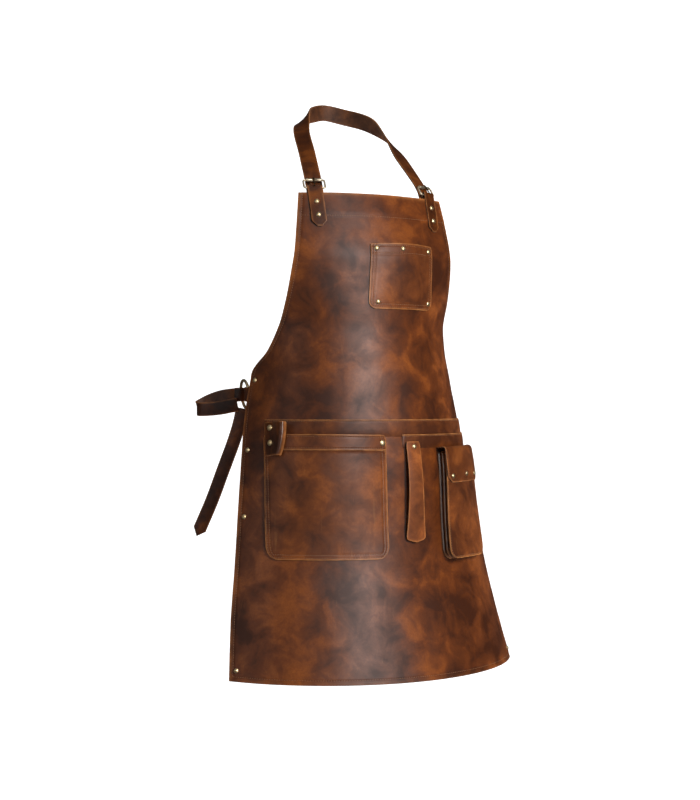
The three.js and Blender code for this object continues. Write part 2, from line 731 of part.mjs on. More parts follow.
// The strap's free end hangs between the fold and the end of the near side
function sideStrapTail() {
  const axes = strapAxes();
  const fold = strapFold(axes);
  const c = fold.front + sideStrap.thickness + clearance;
  const top = -sideStrap.width;
  const route = tailRoute.map((row) => ({
    at: atStrap(axes, row.out * sideStrap.sweep - sideStrap.tuck, c, top - row.fall * sideStrap.tail),
    side: axes.away,
  }));
  addPiece('side_strap_tail', strapAlong(route, sideStrap.width, sideStrap.thickness, 16, sideStrap.tip), 'trim');
}

// Domed rivet cap standing on a face
function rivetCap(name, at, out) {
  const dome = [
    new THREE.Vector2(0, 0),
    new THREE.Vector2(rivet.radius, 0),
    new THREE.Vector2(rivet.radius, rivet.height * rivet.rim),
    new THREE.Vector2(rivet.radius * rivet.crown, rivet.height * rivet.shoulder),
    new THREE.Vector2(0, rivet.height),
  ];
  const turn = new THREE.Quaternion().setFromUnitVectors(new THREE.Vector3(0, 1, 0), out);
  const cap = new THREE.LatheGeometry(dome, rivet.sides);
  addPiece(name, bend(cap, (p) => p.clone().applyQuaternion(turn).add(at)), 'brass');
}

// Height of an outer face above the sheet, by the name of what the rivet goes through
const faces = {
  sheet: () => 0,
  chest: (across, drop) => faceHeight(chestPocket, across, drop),
  main: (across, drop) => faceHeight(mainPocket, across, drop),
  loop: (across, drop) => faceHeight(mainPocket, across, drop) + sewnStep,
  hammer: (across, drop) => hammerLift((drop - hammerStrap.drop) / hammerStrap.height) + panel,
  flap: (across) => cargoFace(across) + lay + panel,
  tab: () => foldRadius + tab.thickness - leather / 2 - tabSag,
};
const rivetedPieces = {
  chest: chestPocket,
  main: mainPocket,
  loop: toolLoop,
  hammer: hammerStrap,
  flap: { ...cargoPocket, topWidth: cargoPocket.width },
};

// Rivet standing square on a face
function rivetOn(face, name, across, drop) {
  const step = 2;
  const at = (a, d) => onSheet(a, d, faces[face](a, d));
  const round = at(across + step, drop).sub(at(across - step, drop));
  const down = at(across, drop + step).sub(at(across, drop - step));
  const out = down.cross(round).normalize();
  rivetCap(name, at(across, drop).addScaledVector(out, rivet.seat), out);
}

function rivets() {
  for (const row of rivetTable) {
    const piece = rivetedPieces[row.face];
    const across = piece.across + row.across * piece.topWidth;
    rivetOn(row.face, row.name, across, piece.drop + row.down * piece.height);
  }
  for (const [side, word] of [[-1, 'left'], [1, 'right']]) {
    tabRivetDrops.forEach((drop, i) => rivetOn('tab', `rivet_tab_${word}_${i + 1}`, side * tab.across, drop));
    sideRivetDrops.forEach((drop, i) => {
      rivetOn('sheet', `rivet_side_${word}_${i + 1}`, side * (halfWidth(drop) - rivet.edge), drop);
    });
  }
}

apronBody();
bands();
pockets();
hammerPiece();
loopPiece();
cargoPiece();
flapPiece();
for (const [side, word] of [[-1, 'left'], [1, 'right']]) {
  shoulderTab(side, `shoulder_tab_${word}`);
  buckleSet(side, word);
  buckleRoller(side, word);
  buckleTongue(side, word);
  ringPiece(side, word);
  ringTab(side, word);
}
neckStrap();
sideStrapLoop();
sideStrapTail();
rivets();

export default apron;
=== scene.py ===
import bpy
import bmesh
import math
from mathutils import Matrix, Vector, noise


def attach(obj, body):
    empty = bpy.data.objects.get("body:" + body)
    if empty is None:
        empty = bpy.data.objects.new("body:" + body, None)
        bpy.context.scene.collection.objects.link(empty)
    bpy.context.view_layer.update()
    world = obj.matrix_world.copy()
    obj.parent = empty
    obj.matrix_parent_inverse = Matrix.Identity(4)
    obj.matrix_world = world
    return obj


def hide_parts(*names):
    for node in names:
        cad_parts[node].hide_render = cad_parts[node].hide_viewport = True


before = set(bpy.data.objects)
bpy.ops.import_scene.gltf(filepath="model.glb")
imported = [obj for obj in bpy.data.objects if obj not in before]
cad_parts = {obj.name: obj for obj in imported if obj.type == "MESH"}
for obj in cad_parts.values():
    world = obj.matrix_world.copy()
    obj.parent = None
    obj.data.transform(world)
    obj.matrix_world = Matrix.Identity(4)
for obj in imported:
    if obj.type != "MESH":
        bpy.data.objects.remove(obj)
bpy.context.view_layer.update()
print("frame loaded:", len(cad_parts), "solids")

# camera, light and floor
view = {
    "place": (-1.2961, -2.6518, -0.5305), "tilt": 90, "turn": -27.0,
    "lens": 69.84, "sensor": 36, "clipEnd": 50,
}

cameraData = bpy.data.cameras.new("photoCamera")
cameraData.lens = view["lens"]
cameraData.sensor_width = view["sensor"]
cameraData.clip_end = view["clipEnd"]
camera = bpy.data.objects.new("photoCamera", cameraData)
camera.location = view["place"]
camera.rotation_euler = (math.radians(view["tilt"]), 0, math.radians(view["turn"]))
bpy.context.scene.collection.objects.link(camera)
bpy.context.scene.camera = camera

studio = {
    "floorHeight": -1.5, "floorReach": 7.0, "front": -0.9, "sweepStart": 2.0, "sweep": 2.0, "sweepSteps": 8,
    "backHeight": 5.0, "paper": (0.93, 0.93, 0.93, 1), "paperRough": 0.9, "paperGlow": 0.8,
    "world": 0.05, "backdrop": 1.0,
    "lights": [  # name, place, aim, width, height, power, lights surfaces, shows in reflections
        ("keyLight", (1.22, -3.3, 0.9), (0, -0.1, -0.45), 0.8, 1.5, 150, True, False),
        ("sheenLight", (0.0, -3.1, 0.45), (0, -0.1, -0.4), 0.5, 1.7, 100, False, True),
        ("leftLight", (-3.1, -1.0, 0.2), (0, -0.1, -0.5), 0.6, 2.2, 9, True, True),
        ("topLight", (-0.3, -1.2, 2.0), (0, -0.1, -0.1), 0.9, 0.9, 4, True, True),
    ],
}
bpy.context.scene.view_settings.view_transform = "Standard"


def studioLight(name, place, aim, width, height, power, lit, reflected):
    lamp = bpy.data.lights.new(name, "AREA")
    lamp.shape = "ELLIPSE"
    lamp.size = width
    lamp.size_y = height
    lamp.energy = power
    thing = bpy.data.objects.new(name, lamp)
    thing.location = place
    thing.rotation_euler = (Vector(aim) - Vector(place)).to_track_quat("-Z", "Y").to_euler()
    thing.visible_diffuse = lit
    thing.visible_glossy = reflected
    bpy.context.scene.collection.objects.link(thing)


for row in studio["lights"]:
    studioLight(*row)

world = bpy.data.worlds.new("studioWorld")
bpy.context.scene.world = world
world.use_nodes = True
backdrop = world.node_tree.nodes["Background"]
backdrop.inputs["Color"].default_value = (1, 1, 1, 1)
rays = world.node_tree.nodes.new("ShaderNodeLightPath")
glow = world.node_tree.nodes.new("ShaderNodeMapRange")  # pale to the camera, dim as a light
glow.inputs["To Min"].default_value = studio["world"]
glow.inputs["To Max"].default_value = studio["backdrop"]
world.node_tree.links.new(rays.outputs["Is Camera Ray"], glow.inputs["Value"])
world.node_tree.links.new(glow.outputs["Result"], backdrop.inputs["Strength"])


def newMaterial(name, values):
    material = bpy.data.materials.new(name)
    material.use_nodes = True
    shader = material.node_tree.nodes["Principled BSDF"]
    for title, value in values.items():
        shader.inputs[title].default_value = value
    return material, material.node_tree, shader


# floor that sweeps up into a backdrop, turned towards the camera
def studioFloor():
    reach, sweep, start = studio["floorReach"], studio["sweep"], studio["sweepStart"]
    outline = [(-reach, studio["front"], 0), (-reach, start, 0)]
    for step in range(1, studio["sweepSteps"] + 1):
        turn = math.radians(90) * step / studio["sweepSteps"]
        outline.append((-reach, start + sweep * math.sin(turn), sweep * (1 - math.cos(turn))))
    outline.append((-reach, start + sweep, studio["backHeight"]))
    mesh = bmesh.new()
    verts = [mesh.verts.new(point) for point in outline]
    for a, b in zip(verts, verts[1:]):
        mesh.edges.new((a, b))
    drawn = bmesh.ops.extrude_edge_only(mesh, edges=list(mesh.edges))
    moved = [e for e in drawn["geom"] if isinstance(e, bmesh.types.BMVert)]
    bmesh.ops.translate(mesh, verts=moved, vec=(2 * reach, 0, 0))
    turned = Matrix.Rotation(math.radians(view["turn"]), 3, "Z")
    bmesh.ops.rotate(mesh, verts=mesh.verts, cent=(0, 0, 0), matrix=turned)
    bmesh.ops.translate(mesh, verts=mesh.verts, vec=(0, 0, studio["floorHeight"]))
    bmesh.ops.recalc_face_normals(mesh, faces=mesh.faces)
    data = bpy.data.meshes.new("studioFloor")
    mesh.to_mesh(data)
    mesh.free()
    for face in data.polygons:
        face.use_smooth = True
    paper, _, _ = newMaterial("palePaper", {
        "Base Color": studio["paper"], "Roughness": studio["paperRough"],
        "Emission Color": (1, 1, 1, 1), "Emission Strength": studio["paperGlow"],
    })
    data.materials.append(paper)
    thing = bpy.data.objects.new("studioFloor", data)
    thing.visible_glossy = False  # no white veil on surfaces seen edge-on
    bpy.context.scene.collection.objects.link(thing)
    return thing


floor = studioFloor()
print("camera, light and floor set")


# shader groups and the nodes that fill them
def newGroup(name, sockets):
    group = bpy.data.node_groups.new(name, "ShaderNodeTree")
    for title, way, kind, value in sockets:
        socket = group.interface.new_socket(name=title, in_out=way, socket_type=kind)
        if value is not None:
            socket.default_value = value
    source = group.nodes.new("NodeGroupInput")
    sink = group.nodes.new("NodeGroupOutput")
    return group, source, sink


# a socket takes a link from another socket, or a value
def feed(tree, socket, value):
    if hasattr(value, "is_linked"):
        tree.links.new(value, socket)
    else:
        socket.default_value = value


def addNode(tree, kind, **values):
    node = tree.nodes.new(kind)
    for title, value in values.items():
        feed(tree, node.inputs[title.replace("_", " ")], value)
    return node


def mathNode(tree, operation, a, b, limited=False):
    node = tree.nodes.new("ShaderNodeMath")
    node.operation = operation
    node.use_clamp = limited
    for socket, value in zip(node.inputs, (a, b)):
        feed(tree, socket, value)
    return node.outputs[0]


def mixColour(tree, factor, first, second):
    node = tree.nodes.new("ShaderNodeMix")
    node.data_type = "RGBA"
    for name, kind, value in (("Factor", "VALUE", factor), ("A", "RGBA", first), ("B", "RGBA", second)):
        socket = [s for s in node.inputs if s.name == name and s.type == kind and s.enabled][0]
        feed(tree, socket, value)
    return [s for s in node.outputs if s.type == "RGBA"][0]


def spread(tree, value, low, high, first=0.0, last=1.0):
    node = addNode(tree, "ShaderNodeMapRange", Value=value, From_Min=low, From_Max=high,
                   To_Min=first, To_Max=last)
    return node.outputs["Result"]


def noiseOf(tree, vector, scale, detail=4.0, rough=0.55, twist=0.0):
    node = addNode(tree, "ShaderNodeTexNoise", Vector=vector, Scale=scale, Detail=detail, Roughness=rough,
                   Distortion=twist)
    return node.outputs["Fac"]


def bumpShader(tree, shader, height, strength, distance):
    bump = addNode(tree, "ShaderNodeBump", Height=height, Strength=strength, Distance=distance)
    tree.links.new(bump.outputs["Normal"], shader.inputs["Normal"])


# scales of the noises, their shares of the patches, and where dark ends and tan starts
tonePattern = {
    "broad": 7.5, "cloud": 22.0, "speck": 310.0, "broadShare": 0.48, "cloudShare": 0.52,
    "darkEnd": (0.4, 0.57), "tanStart": (0.52, 0.67), "speckShade": 0.35,
}
grainPattern = {
    "crease": 85.0, "fine": 900.0, "pebbleDepth": 0.28, "creaseDepth": 0.45, "fineDepth": 0.15,
    "scratchTurn": (0.3, 0.2, 0.5), "scratchScale": (60, 60, 3.5),
}


# patches of dark, middle and tan leather, as where a waxed hide is bent and rubbed
def hideToneGroup():
    group, source, sink = newGroup("hideTone", [
        ("Vector", "INPUT", "NodeSocketVector", None),
        ("Dark", "INPUT", "NodeSocketColor", (0.03, 0.012, 0.006, 1)),
        ("Middle", "INPUT", "NodeSocketColor", (0.12, 0.042, 0.018, 1)),
        ("Tan", "INPUT", "NodeSocketColor", (0.3, 0.11, 0.035, 1)),
        ("Pull Up", "INPUT", "NodeSocketFloat", 0.5),
        ("Color", "OUTPUT", "NodeSocketColor", None),
        ("Patch", "OUTPUT", "NodeSocketFloat", None),
    ])
    vector = source.outputs["Vector"]
    broad = noiseOf(group, vector, tonePattern["broad"], 4.0, 0.55, 0.6)
    cloud = noiseOf(group, vector, tonePattern["cloud"], 7.0, 0.6, 0.5)
    speck = noiseOf(group, vector, tonePattern["speck"], 3.0, 0.6)
    broad = mathNode(group, "MULTIPLY", broad, tonePattern["broadShare"])
    cloud = mathNode(group, "MULTIPLY", cloud, tonePattern["cloudShare"])
    patch = mathNode(group, "ADD", broad, cloud)
    dark = spread(group, patch, *tonePattern["darkEnd"])
    tan = spread(group, patch, *tonePattern["tanStart"])
    tan = mathNode(group, "MULTIPLY", tan, source.outputs["Pull Up"], True)
    base = mixColour(group, dark, source.outputs["Dark"], source.outputs["Middle"])
    base = mixColour(group, tan, base, source.outputs["Tan"])
    grain = mathNode(group, "MULTIPLY", spread(group, speck, 0.3, 0.75), tonePattern["speckShade"])
    shade = mixColour(group, grain, base, source.outputs["Dark"])
    group.links.new(shade, sink.inputs["Color"])
    group.links.new(patch, sink.inputs["Patch"])
    return group


# pebbled grain with creases
def hideGrainGroup():
    group, source, sink = newGroup("hideGrain", [
        ("Vector", "INPUT", "NodeSocketVector", None),
        ("Pebble", "INPUT", "NodeSocketFloat", 620.0),
        ("Crease", "INPUT", "NodeSocketFloat", 0.5),
        ("Height", "OUTPUT", "NodeSocketFloat", None),
        ("Scratch", "OUTPUT", "NodeSocketFloat", None),
    ])
    vector = source.outputs["Vector"]
    cells = addNode(group, "ShaderNodeTexVoronoi", Vector=vector, Scale=source.outputs["Pebble"])
    cells.feature = "DISTANCE_TO_EDGE"
    pebble = spread(group, cells.outputs["Distance"], 0.0, 0.35)
    crease = noiseOf(group, vector, grainPattern["crease"], 6.0, 0.65)
    fine = noiseOf(group, vector, grainPattern["fine"], 2.0, 0.5)
    height = mathNode(group, "MULTIPLY", pebble, grainPattern["pebbleDepth"])
    height = mathNode(group, "ADD", height, mathNode(group, "MULTIPLY", crease, source.outputs["Crease"]))
    height = mathNode(group, "ADD", height, mathNode(group, "MULTIPLY", fine, grainPattern["fineDepth"]))
    stretch = addNode(group, "ShaderNodeMapping", Vector=vector, Rotation=grainPattern["scratchTurn"],
                      Scale=grainPattern["scratchScale"])
    streak = noiseOf(group, stretch.outputs["Vector"], 1.0, 5.0, 0.7)
    scratch = spread(group, streak, 0.64, 0.74)
    group.links.new(height, sink.inputs["Height"])
    group.links.new(scratch, sink.inputs["Scratch"])
    return group


# lighter rim of a piece, rubbed wear that is partly a painted highlight where edges, the pocket hem and the
# gusset's ridges catch light: the mesh's own "rim" value, 1 at its outline
def rimWearAndSheenGroup():
    group, source, sink = newGroup("rimWearAndSheen", [
        ("Vector", "INPUT", "NodeSocketVector", None),
        ("Rim", "INPUT", "NodeSocketFloat", 0.0),
        ("Amount", "INPUT", "NodeSocketFloat", 0.6),
        ("WearAndSheen", "OUTPUT", "NodeSocketFloat", None),
    ])
    patchy = spread(group, noiseOf(group, source.outputs["Vector"], 55.0, 5.0, 0.6), 0.34, 0.62)
    sharp = mathNode(group, "POWER", source.outputs["Rim"], 2.2)
    uneven = mathNode(group, "ADD", mathNode(group, "MULTIPLY", patchy, 0.7), 0.3)
    wearAndSheen = mathNode(group, "MULTIPLY", sharp, uneven)
    wearAndSheen = mathNode(group, "MULTIPLY", wearAndSheen, source.outputs["Amount"], True)
    group.links.new(wearAndSheen, sink.inputs["WearAndSheen"])
    return group


toneGroup = hideToneGroup()
grainGroup = hideGrainGroup()
wearAndSheenGroup = rimWearAndSheenGroup()


def placeGroup(tree, group, **values):
    node = tree.nodes.new("ShaderNodeGroup")
    node.node_tree = group
    for title, value in values.items():
        feed(tree, node.inputs[title.replace("_", " ")], value)
    return node


# depth is the grain's, in millimetres, and rough is for the tan patches and for the dark ones
def leather(name, dark, middle, tan, pullUp=0.6, wearAndSheen=0.6, wearAndSheenColour=(0.52, 0.19, 0.05, 1), rough=(0.4, 0.54),
            pebble=620.0, depth=0.35, shift=(0, 0, 0), scratches=0.12):
    material, tree, shader = newMaterial(name, {"Specular IOR Level": 0.34})
    place = tree.nodes.new("ShaderNodeTexCoord").outputs["Object"]
    vector = addNode(tree, "ShaderNodeMapping", Vector=place, Location=shift).outputs["Vector"]
    tone = placeGroup(tree, toneGroup, Vector=vector, Dark=dark, Middle=middle, Tan=tan, Pull_Up=pullUp)
    grain = placeGroup(tree, grainGroup, Vector=vector, Pebble=pebble, Crease=grainPattern["creaseDepth"])
    rim = tree.nodes.new("ShaderNodeAttribute")
    rim.attribute_name = "rim"
    wornAndSheen = placeGroup(tree, wearAndSheenGroup, Vector=vector, Rim=rim.outputs["Fac"], Amount=wearAndSheen)
    scratch = mathNode(tree, "MULTIPLY", grain.outputs["Scratch"], scratches)
    colour = mixColour(tree, scratch, tone.outputs["Color"], wearAndSheenColour)
    # lighter at rims and ridges: rubbed wear, partly painted highlight
    colour = mixColour(tree, wornAndSheen.outputs["WearAndSheen"], colour, wearAndSheenColour)
    tree.links.new(colour, shader.inputs["Base Color"])
    gloss = spread(tree, tone.outputs["Patch"], 0.35, 0.65, rough[1], rough[0])
    tree.links.new(gloss, shader.inputs["Roughness"])
    bumpShader(tree, shader, grain.outputs["Height"], 0.5, depth * 0.001)
    return material


leatherKinds = {
    "wornHide": {
        "dark": (0.045, 0.0095, 0.0012, 1), "middle": (0.165, 0.039, 0.006, 1), "tan": (0.36, 0.1, 0.016, 1),
        "pullUp": 0.55, "wearAndSheen": 0.75,
    },
    "fleshSide": {
        "dark": (0.12, 0.055, 0.028, 1), "middle": (0.22, 0.1, 0.05, 1), "tan": (0.3, 0.14, 0.07, 1),
        "pullUp": 0.4, "wearAndSheen": 0.1, "rough": (0.8, 0.92), "pebble": 1400.0, "depth": 0.5, "scratches": 0.1,
    },
    "cutEdge": {
        "dark": (0.1, 0.045, 0.022, 1), "middle": (0.26, 0.13, 0.07, 1), "tan": (0.4, 0.22, 0.12, 1),
        "pullUp": 0.5, "wearAndSheen": 0.2, "rough": (0.55, 0.75), "pebble": 1500.0, "depth": 0.3, "scratches": 0.0,
    },
    # its light rim colour is rubbed edges and also painted highlight on the gusset's ridges and the main
    # pocket's hem edge
    "pocketHide": {
        "dark": (0.06, 0.0135, 0.002, 1), "middle": (0.2, 0.051, 0.009, 1), "tan": (0.42, 0.122, 0.02, 1),
        "pullUp": 0.5, "wearAndSheen": 0.7, "wearAndSheenColour": (0.68, 0.28, 0.08, 1), "shift": (0.37, 0.11, 0.23),
    },
    "flapHide": {
        "dark": (0.045, 0.01, 0.0013, 1), "middle": (0.15, 0.037, 0.006, 1), "tan": (0.34, 0.1, 0.016, 1),
        "pullUp": 0.6, "wearAndSheen": 0.9, "shift": (0.81, 0.47, 0.13),
    },
    "hammerStrapHide": {
        "dark": (0.09, 0.022, 0.004, 1), "middle": (0.3, 0.08, 0.017, 1), "tan": (0.5, 0.16, 0.03, 1),
        "pullUp": 0.6, "wearAndSheen": 0.9, "shift": (0.27, 0.91, 0.33),
    },
    "strapHide": {
        "dark": (0.024, 0.005, 0.0008, 1), "middle": (0.1, 0.025, 0.004, 1), "tan": (0.34, 0.095, 0.014, 1),
        "pullUp": 0.6, "wearAndSheen": 0.9, "wearAndSheenColour": (0.4, 0.15, 0.045, 1), "rough": (0.3, 0.45), "pebble": 800.0,
        "depth": 0.25, "shift": (0.19, 0.73, 0.41), "scratches": 0.1,
    },
    "strapFlesh": {
        "dark": (0.03, 0.009, 0.003, 1), "middle": (0.16, 0.05, 0.012, 1), "tan": (0.34, 0.11, 0.025, 1),
        "pullUp": 0.6, "wearAndSheen": 0.3, "rough": (0.55, 0.75), "pebble": 1300.0, "depth": 0.35, "scratches": 0.15,
    },
}
leathers = {name: leather(name, **values) for name, values in leatherKinds.items()}


def threadMaterial():
    material, tree, shader = newMaterial("waxedThread", {"Roughness": 0.6})
    place = tree.nodes.new("ShaderNodeTexCoord").outputs["Object"]
    tint = noiseOf(tree, place, 120.0, 2.0, 0.5)
    colour = mixColour(tree, tint, (0.2, 0.085, 0.035, 1), (0.4, 0.19, 0.09, 1))
    tree.links.new(colour, shader.inputs["Base Color"])
    twist = addNode(tree, "ShaderNodeTexWave", Vector=place, Scale=900.0)
    bumpShader(tree, shader, twist.outputs["Fac"], 0.4, 0.0002)
    return material


# rough goes from the bright metal to the dull
def brassMaterial(name, bright, dull, rough):
    material, tree, shader = newMaterial(name, {"Metallic": 1.0})
    place = tree.nodes.new("ShaderNodeTexCoord").outputs["Object"]
    stain = spread(tree, noiseOf(tree, place, 160.0, 5.0, 0.65), 0.35, 0.66)
    tree.links.new(mixColour(tree, stain, dull, bright), shader.inputs["Base Color"])
    tree.links.new(spread(tree, stain, 0.0, 1.0, rough[1], rough[0]), shader.inputs["Roughness"])
    bumpShader(tree, shader, noiseOf(tree, place, 1500.0, 3.0, 0.6), 0.25, 0.0002)
    return material


thread = threadMaterial()
agedBrass = brassMaterial("agedBrass", (1.0, 0.8, 0.48, 1), (0.7, 0.5, 0.25, 1), (0.4, 0.52))
buckleBrass = brassMaterial("buckleBrass", (0.86, 0.74, 0.56, 1), (0.5, 0.4, 0.26, 1), (0.46, 0.6))
darkBrass = brassMaterial("darkBrass", (0.16, 0.11, 0.06, 1), (0.06, 0.04, 0.022, 1), (0.35, 0.55))


# materials of a piece's face, back and cut edge
def leatherSet(face, back="fleshSide"):
    return leathers[face], leathers[back], leathers["cutEdge"]


hideSet = leatherSet("wornHide")
pocketSet = leatherSet("pocketHide")
flapSet = leatherSet("flapHide")
hammerSet = leatherSet("hammerStrapHide")
strapSet = leatherSet("strapHide", "strapFlesh")
print("materials made")

# the sheet's shape, in millimetres, as everything below
sheet = {
    "leather": 2.4, "panel": 2.0, "clearance": 0.3, "lay": 0.65, "seat": 0.12, "length": 842, "hemHalf": 333,
    "radius": 340, "hemForward": 135, "neckDrop": 166.5, "neckBack": 225, "band": 41,
    "waves": [(0.012, 0.009, 3.7, 1.5), (0.045, 0.05, 9.1, 0.3)],  # scale across, down, start, height
}
sections = [  # drop, radius, half width, forward, as shares
    (0, 0.847, 0.447, 0), (0.069, 0.838, 0.48, 0.13), (0.141, 0.765, 0.514, 0.23),
    (0.214, 0.656, 0.55, 0.225), (0.276, 0.577, 0.604, 0.222), (0.328, 0.576, 0.688, 0.265),
    (0.378, 0.591, 0.832, 0.333),
    (0.473, 0.659, 0.868, 0.407), (0.574, 0.738, 0.877, 0.474), (0.675, 0.818, 0.886, 0.51),
    (0.773, 0.882, 0.907, 0.585), (0.881, 0.938, 0.955, 0.76), (1, 1, 1, 1),
]
cornerDrop = 0.378 * sheet["length"]


def sectionSlopes(column):
    steps = [b[0] - a[0] for a, b in zip(sections, sections[1:])]
    rates = [(b[column] - a[column]) / s for a, b, s in zip(sections, sections[1:], steps)]
    slopes = [rates[0]]
    for a, b in zip(rates, rates[1:]):
        slopes.append(2 * a * b / (a + b) if a * b > 0 else 0)
    return slopes + [rates[-1]]


slopeTable = {column: sectionSlopes(column) for column in (1, 2, 3)}


def sectionValue(column, drop):
    at = drop / sheet["length"]
    row = 0
    while row < len(sections) - 2 and at > sections[row + 1][0]:
        row += 1
    low, high, slopes = sections[row], sections[row + 1], slopeTable[column]
    width = high[0] - low[0]
    t = (at - low[0]) / width
    if t < 0:
        return low[column] + slopes[row] * width * t
    if t > 1:
        return high[column] + slopes[row + 1] * width * (t - 1)
    blend = t * t * (3 - 2 * t)
    return (low[column] * (1 - blend) + high[column] * blend + slopes[row] * width * t * (1 - t) ** 2
            - slopes[row + 1] * width * t * t * (1 - t))


def halfWidth(drop):
    return sheet["hemHalf"] * sectionValue(2, drop)


def sheetPoint(across, drop):
    radius = sheet["radius"] * sectionValue(1, drop)
    forward = sheet["hemForward"] * sectionValue(3, drop)
    turn = across / radius
    return Vector((radius * math.sin(turn), radius * (1 - math.cos(turn)) - forward - sheet["neckBack"],
                   -sheet["neckDrop"] - drop))


def sheetNormal(across, drop):
    around = sheetPoint(across + 0.5, drop) - sheetPoint(across - 0.5, drop)
    down = sheetPoint(across, drop + 0.5) - sheetPoint(across, drop - 0.5)
    return down.cross(around).normalized()


# soft unevenness of a used sheet: broad waves and small dents
def ripple(across, drop):
    total = 0.0
    for wide, tall, start, height in sheet["waves"]:
        total += noise.noise(Vector((across * wide, drop * tall, start))) * height
    return total


def onSheet(across, drop, out):
    return sheetPoint(across, drop) + sheetNormal(across, drop) * (out + ripple(across, drop))


def lerp(a, b, t):
    return a + (b - a) * t


def clamp(value, low=0.0, high=1.0):
    return max(low, min(high, value))


# making pieces: a mesh in metres becomes an object with its body, slot and replaced nodes
def addPiece(name, data, materials, nodes):
    for material in materials:
        data.materials.append(material)
    for face in data.polygons:
        face.use_smooth = True
    piece = bpy.data.objects.new(name, data)
    bpy.context.scene.collection.objects.link(piece)
    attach(piece, "root")
    if nodes:
        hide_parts(*nodes)
    return piece


def finishPiece(name, mesh, materials, nodes):  # the mesh is in millimetres
    bmesh.ops.scale(mesh, vec=(0.001, 0.001, 0.001), verts=mesh.verts)
    data = bpy.data.meshes.new(name)
    mesh.to_mesh(data)
    mesh.free()
    return addPiece(name, data, materials, nodes)


# grid of columns and rows, each vertex sent to its place by place(column, row)
def gridMesh(columns, rows, place, rim, flip=False):
    mesh = bmesh.new()
    bmesh.ops.create_grid(mesh, x_segments=columns, y_segments=rows, size=0.5)
    layer = mesh.verts.layers.float.new("rim")
    for vert in mesh.verts:
        column = round((vert.co.x + 0.5) * columns)
        row = round((0.5 - vert.co.y) * rows)
        vert[layer] = rim(column, row)
        vert.co = place(column, row)
    if flip:
        bmesh.ops.reverse_faces(mesh, faces=mesh.faces)
    return mesh


def thicken(piece, thickness, rounding=0.5):
    wall = piece.modifiers.new("wall", "SOLIDIFY")
    wall.thickness = thickness * 0.001
    wall.offset = -1.0
    wall.material_offset = 1
    wall.material_offset_rim = 2
    wall.use_even_offset = True
    if rounding:
        bevel = piece.modifiers.new("roundedEdge", "BEVEL")
        bevel.width = rounding * 0.001
        bevel.segments = 2
        bevel.limit_method = "ANGLE"
        bevel.angle_limit = math.radians(50)
    return piece


# places between two ends, closer beside the ends
def stops(low, high, edges, count):
    inner = [lerp(low + edges[-1], high - edges[-1], i / count) for i in range(1, count)]
    return [low + e for e in edges] + inner + [high - e for e in reversed(edges)]


def rimValue(distance, width=4.0):
    return clamp(1 - distance / width)


# places across a strap, from -1 to 1, closer beside its edges
def strapSides(edges, count=8):
    return [-1 + 2 * s for s in stops(0, 1, edges, count)]


# line pressed along both edges of a strap, at a share of its half width
def edgeCrease(s, depth, at=0.16, wide=0.05):
    return depth * clamp(1 - abs(1 - abs(s) - at) / wide)


# angle after i of count steps of a quarter turn
def quarter(i, count):
    return math.radians(90) * i / count


# stitching
stitchSize = {"length": 3.3, "pitch": 4.4, "radius": 0.42, "rise": 0.4}


# short threads along a line of (point, outward) pairs
def addStitches(mesh, line):
    walked = 0.0
    due = stitchSize["pitch"] / 2
    for (a, outA), (b, outB) in zip(line, line[1:]):
        gap = (b - a).length
        while walked + gap >= due:
            t = (due - walked) / gap if gap else 0
            middle = a.lerp(b, t)
            out = outA.lerp(outB, t).normalized()
            along = (b - a).normalized()
            side = along.cross(out).normalized()
            radius = stitchSize["radius"]
            turn = Matrix((along * stitchSize["length"] / 2, side * radius, out * radius))
            place = turn.transposed().to_4x4()
            place.translation = middle + out * radius * stitchSize["rise"]
            bmesh.ops.create_icosphere(mesh, subdivisions=1, radius=1.0, matrix=place)
            due += stitchSize["pitch"]
        walked += gap


def surfaceLine(pairs, height):
    return [(onSheet(a, d, height(a, d)), sheetNormal(a, d)) for a, d in pairs]


def denseLine(pairs, step=6.0):
    dense = []
    for (a0, d0), (a1, d1) in zip(pairs, pairs[1:]):
        count = max(1, int(math.hypot(a1 - a0, d1 - d0) / step))
        dense += [(lerp(a0, a1, i / count), lerp(d0, d1, i / count)) for i in range(count)]
    return dense + [pairs[-1]]


def stitchPiece(name, lines):
    mesh = bmesh.new()
    for line in lines:
        addStitches(mesh, line)
    return finishPiece(name, mesh, [thread], [])


# the apron's sheet
apron = {
    "columns": 84, "edges": [0, 0.8, 3.0, 6.6, 8.0, 9.4, 14],
    "topRows": [0, 1, 3, 6], "bibRows": 60, "skirtRows": 90, "hemRows": [11, 9.2, 8.0, 6.8, 3, 1, 0],
    "seamIn": 8.0, "hemSeam": 8.0, "groove": 0.45, "bandRise": 0.9, "wornAndSheen": 9.0,
}


def bandStep(drop):  # the folded band at the bib's top is one layer thicker
    return apron["bandRise"] * (1 - clamp((drop - sheet["band"] + 2) / 4))


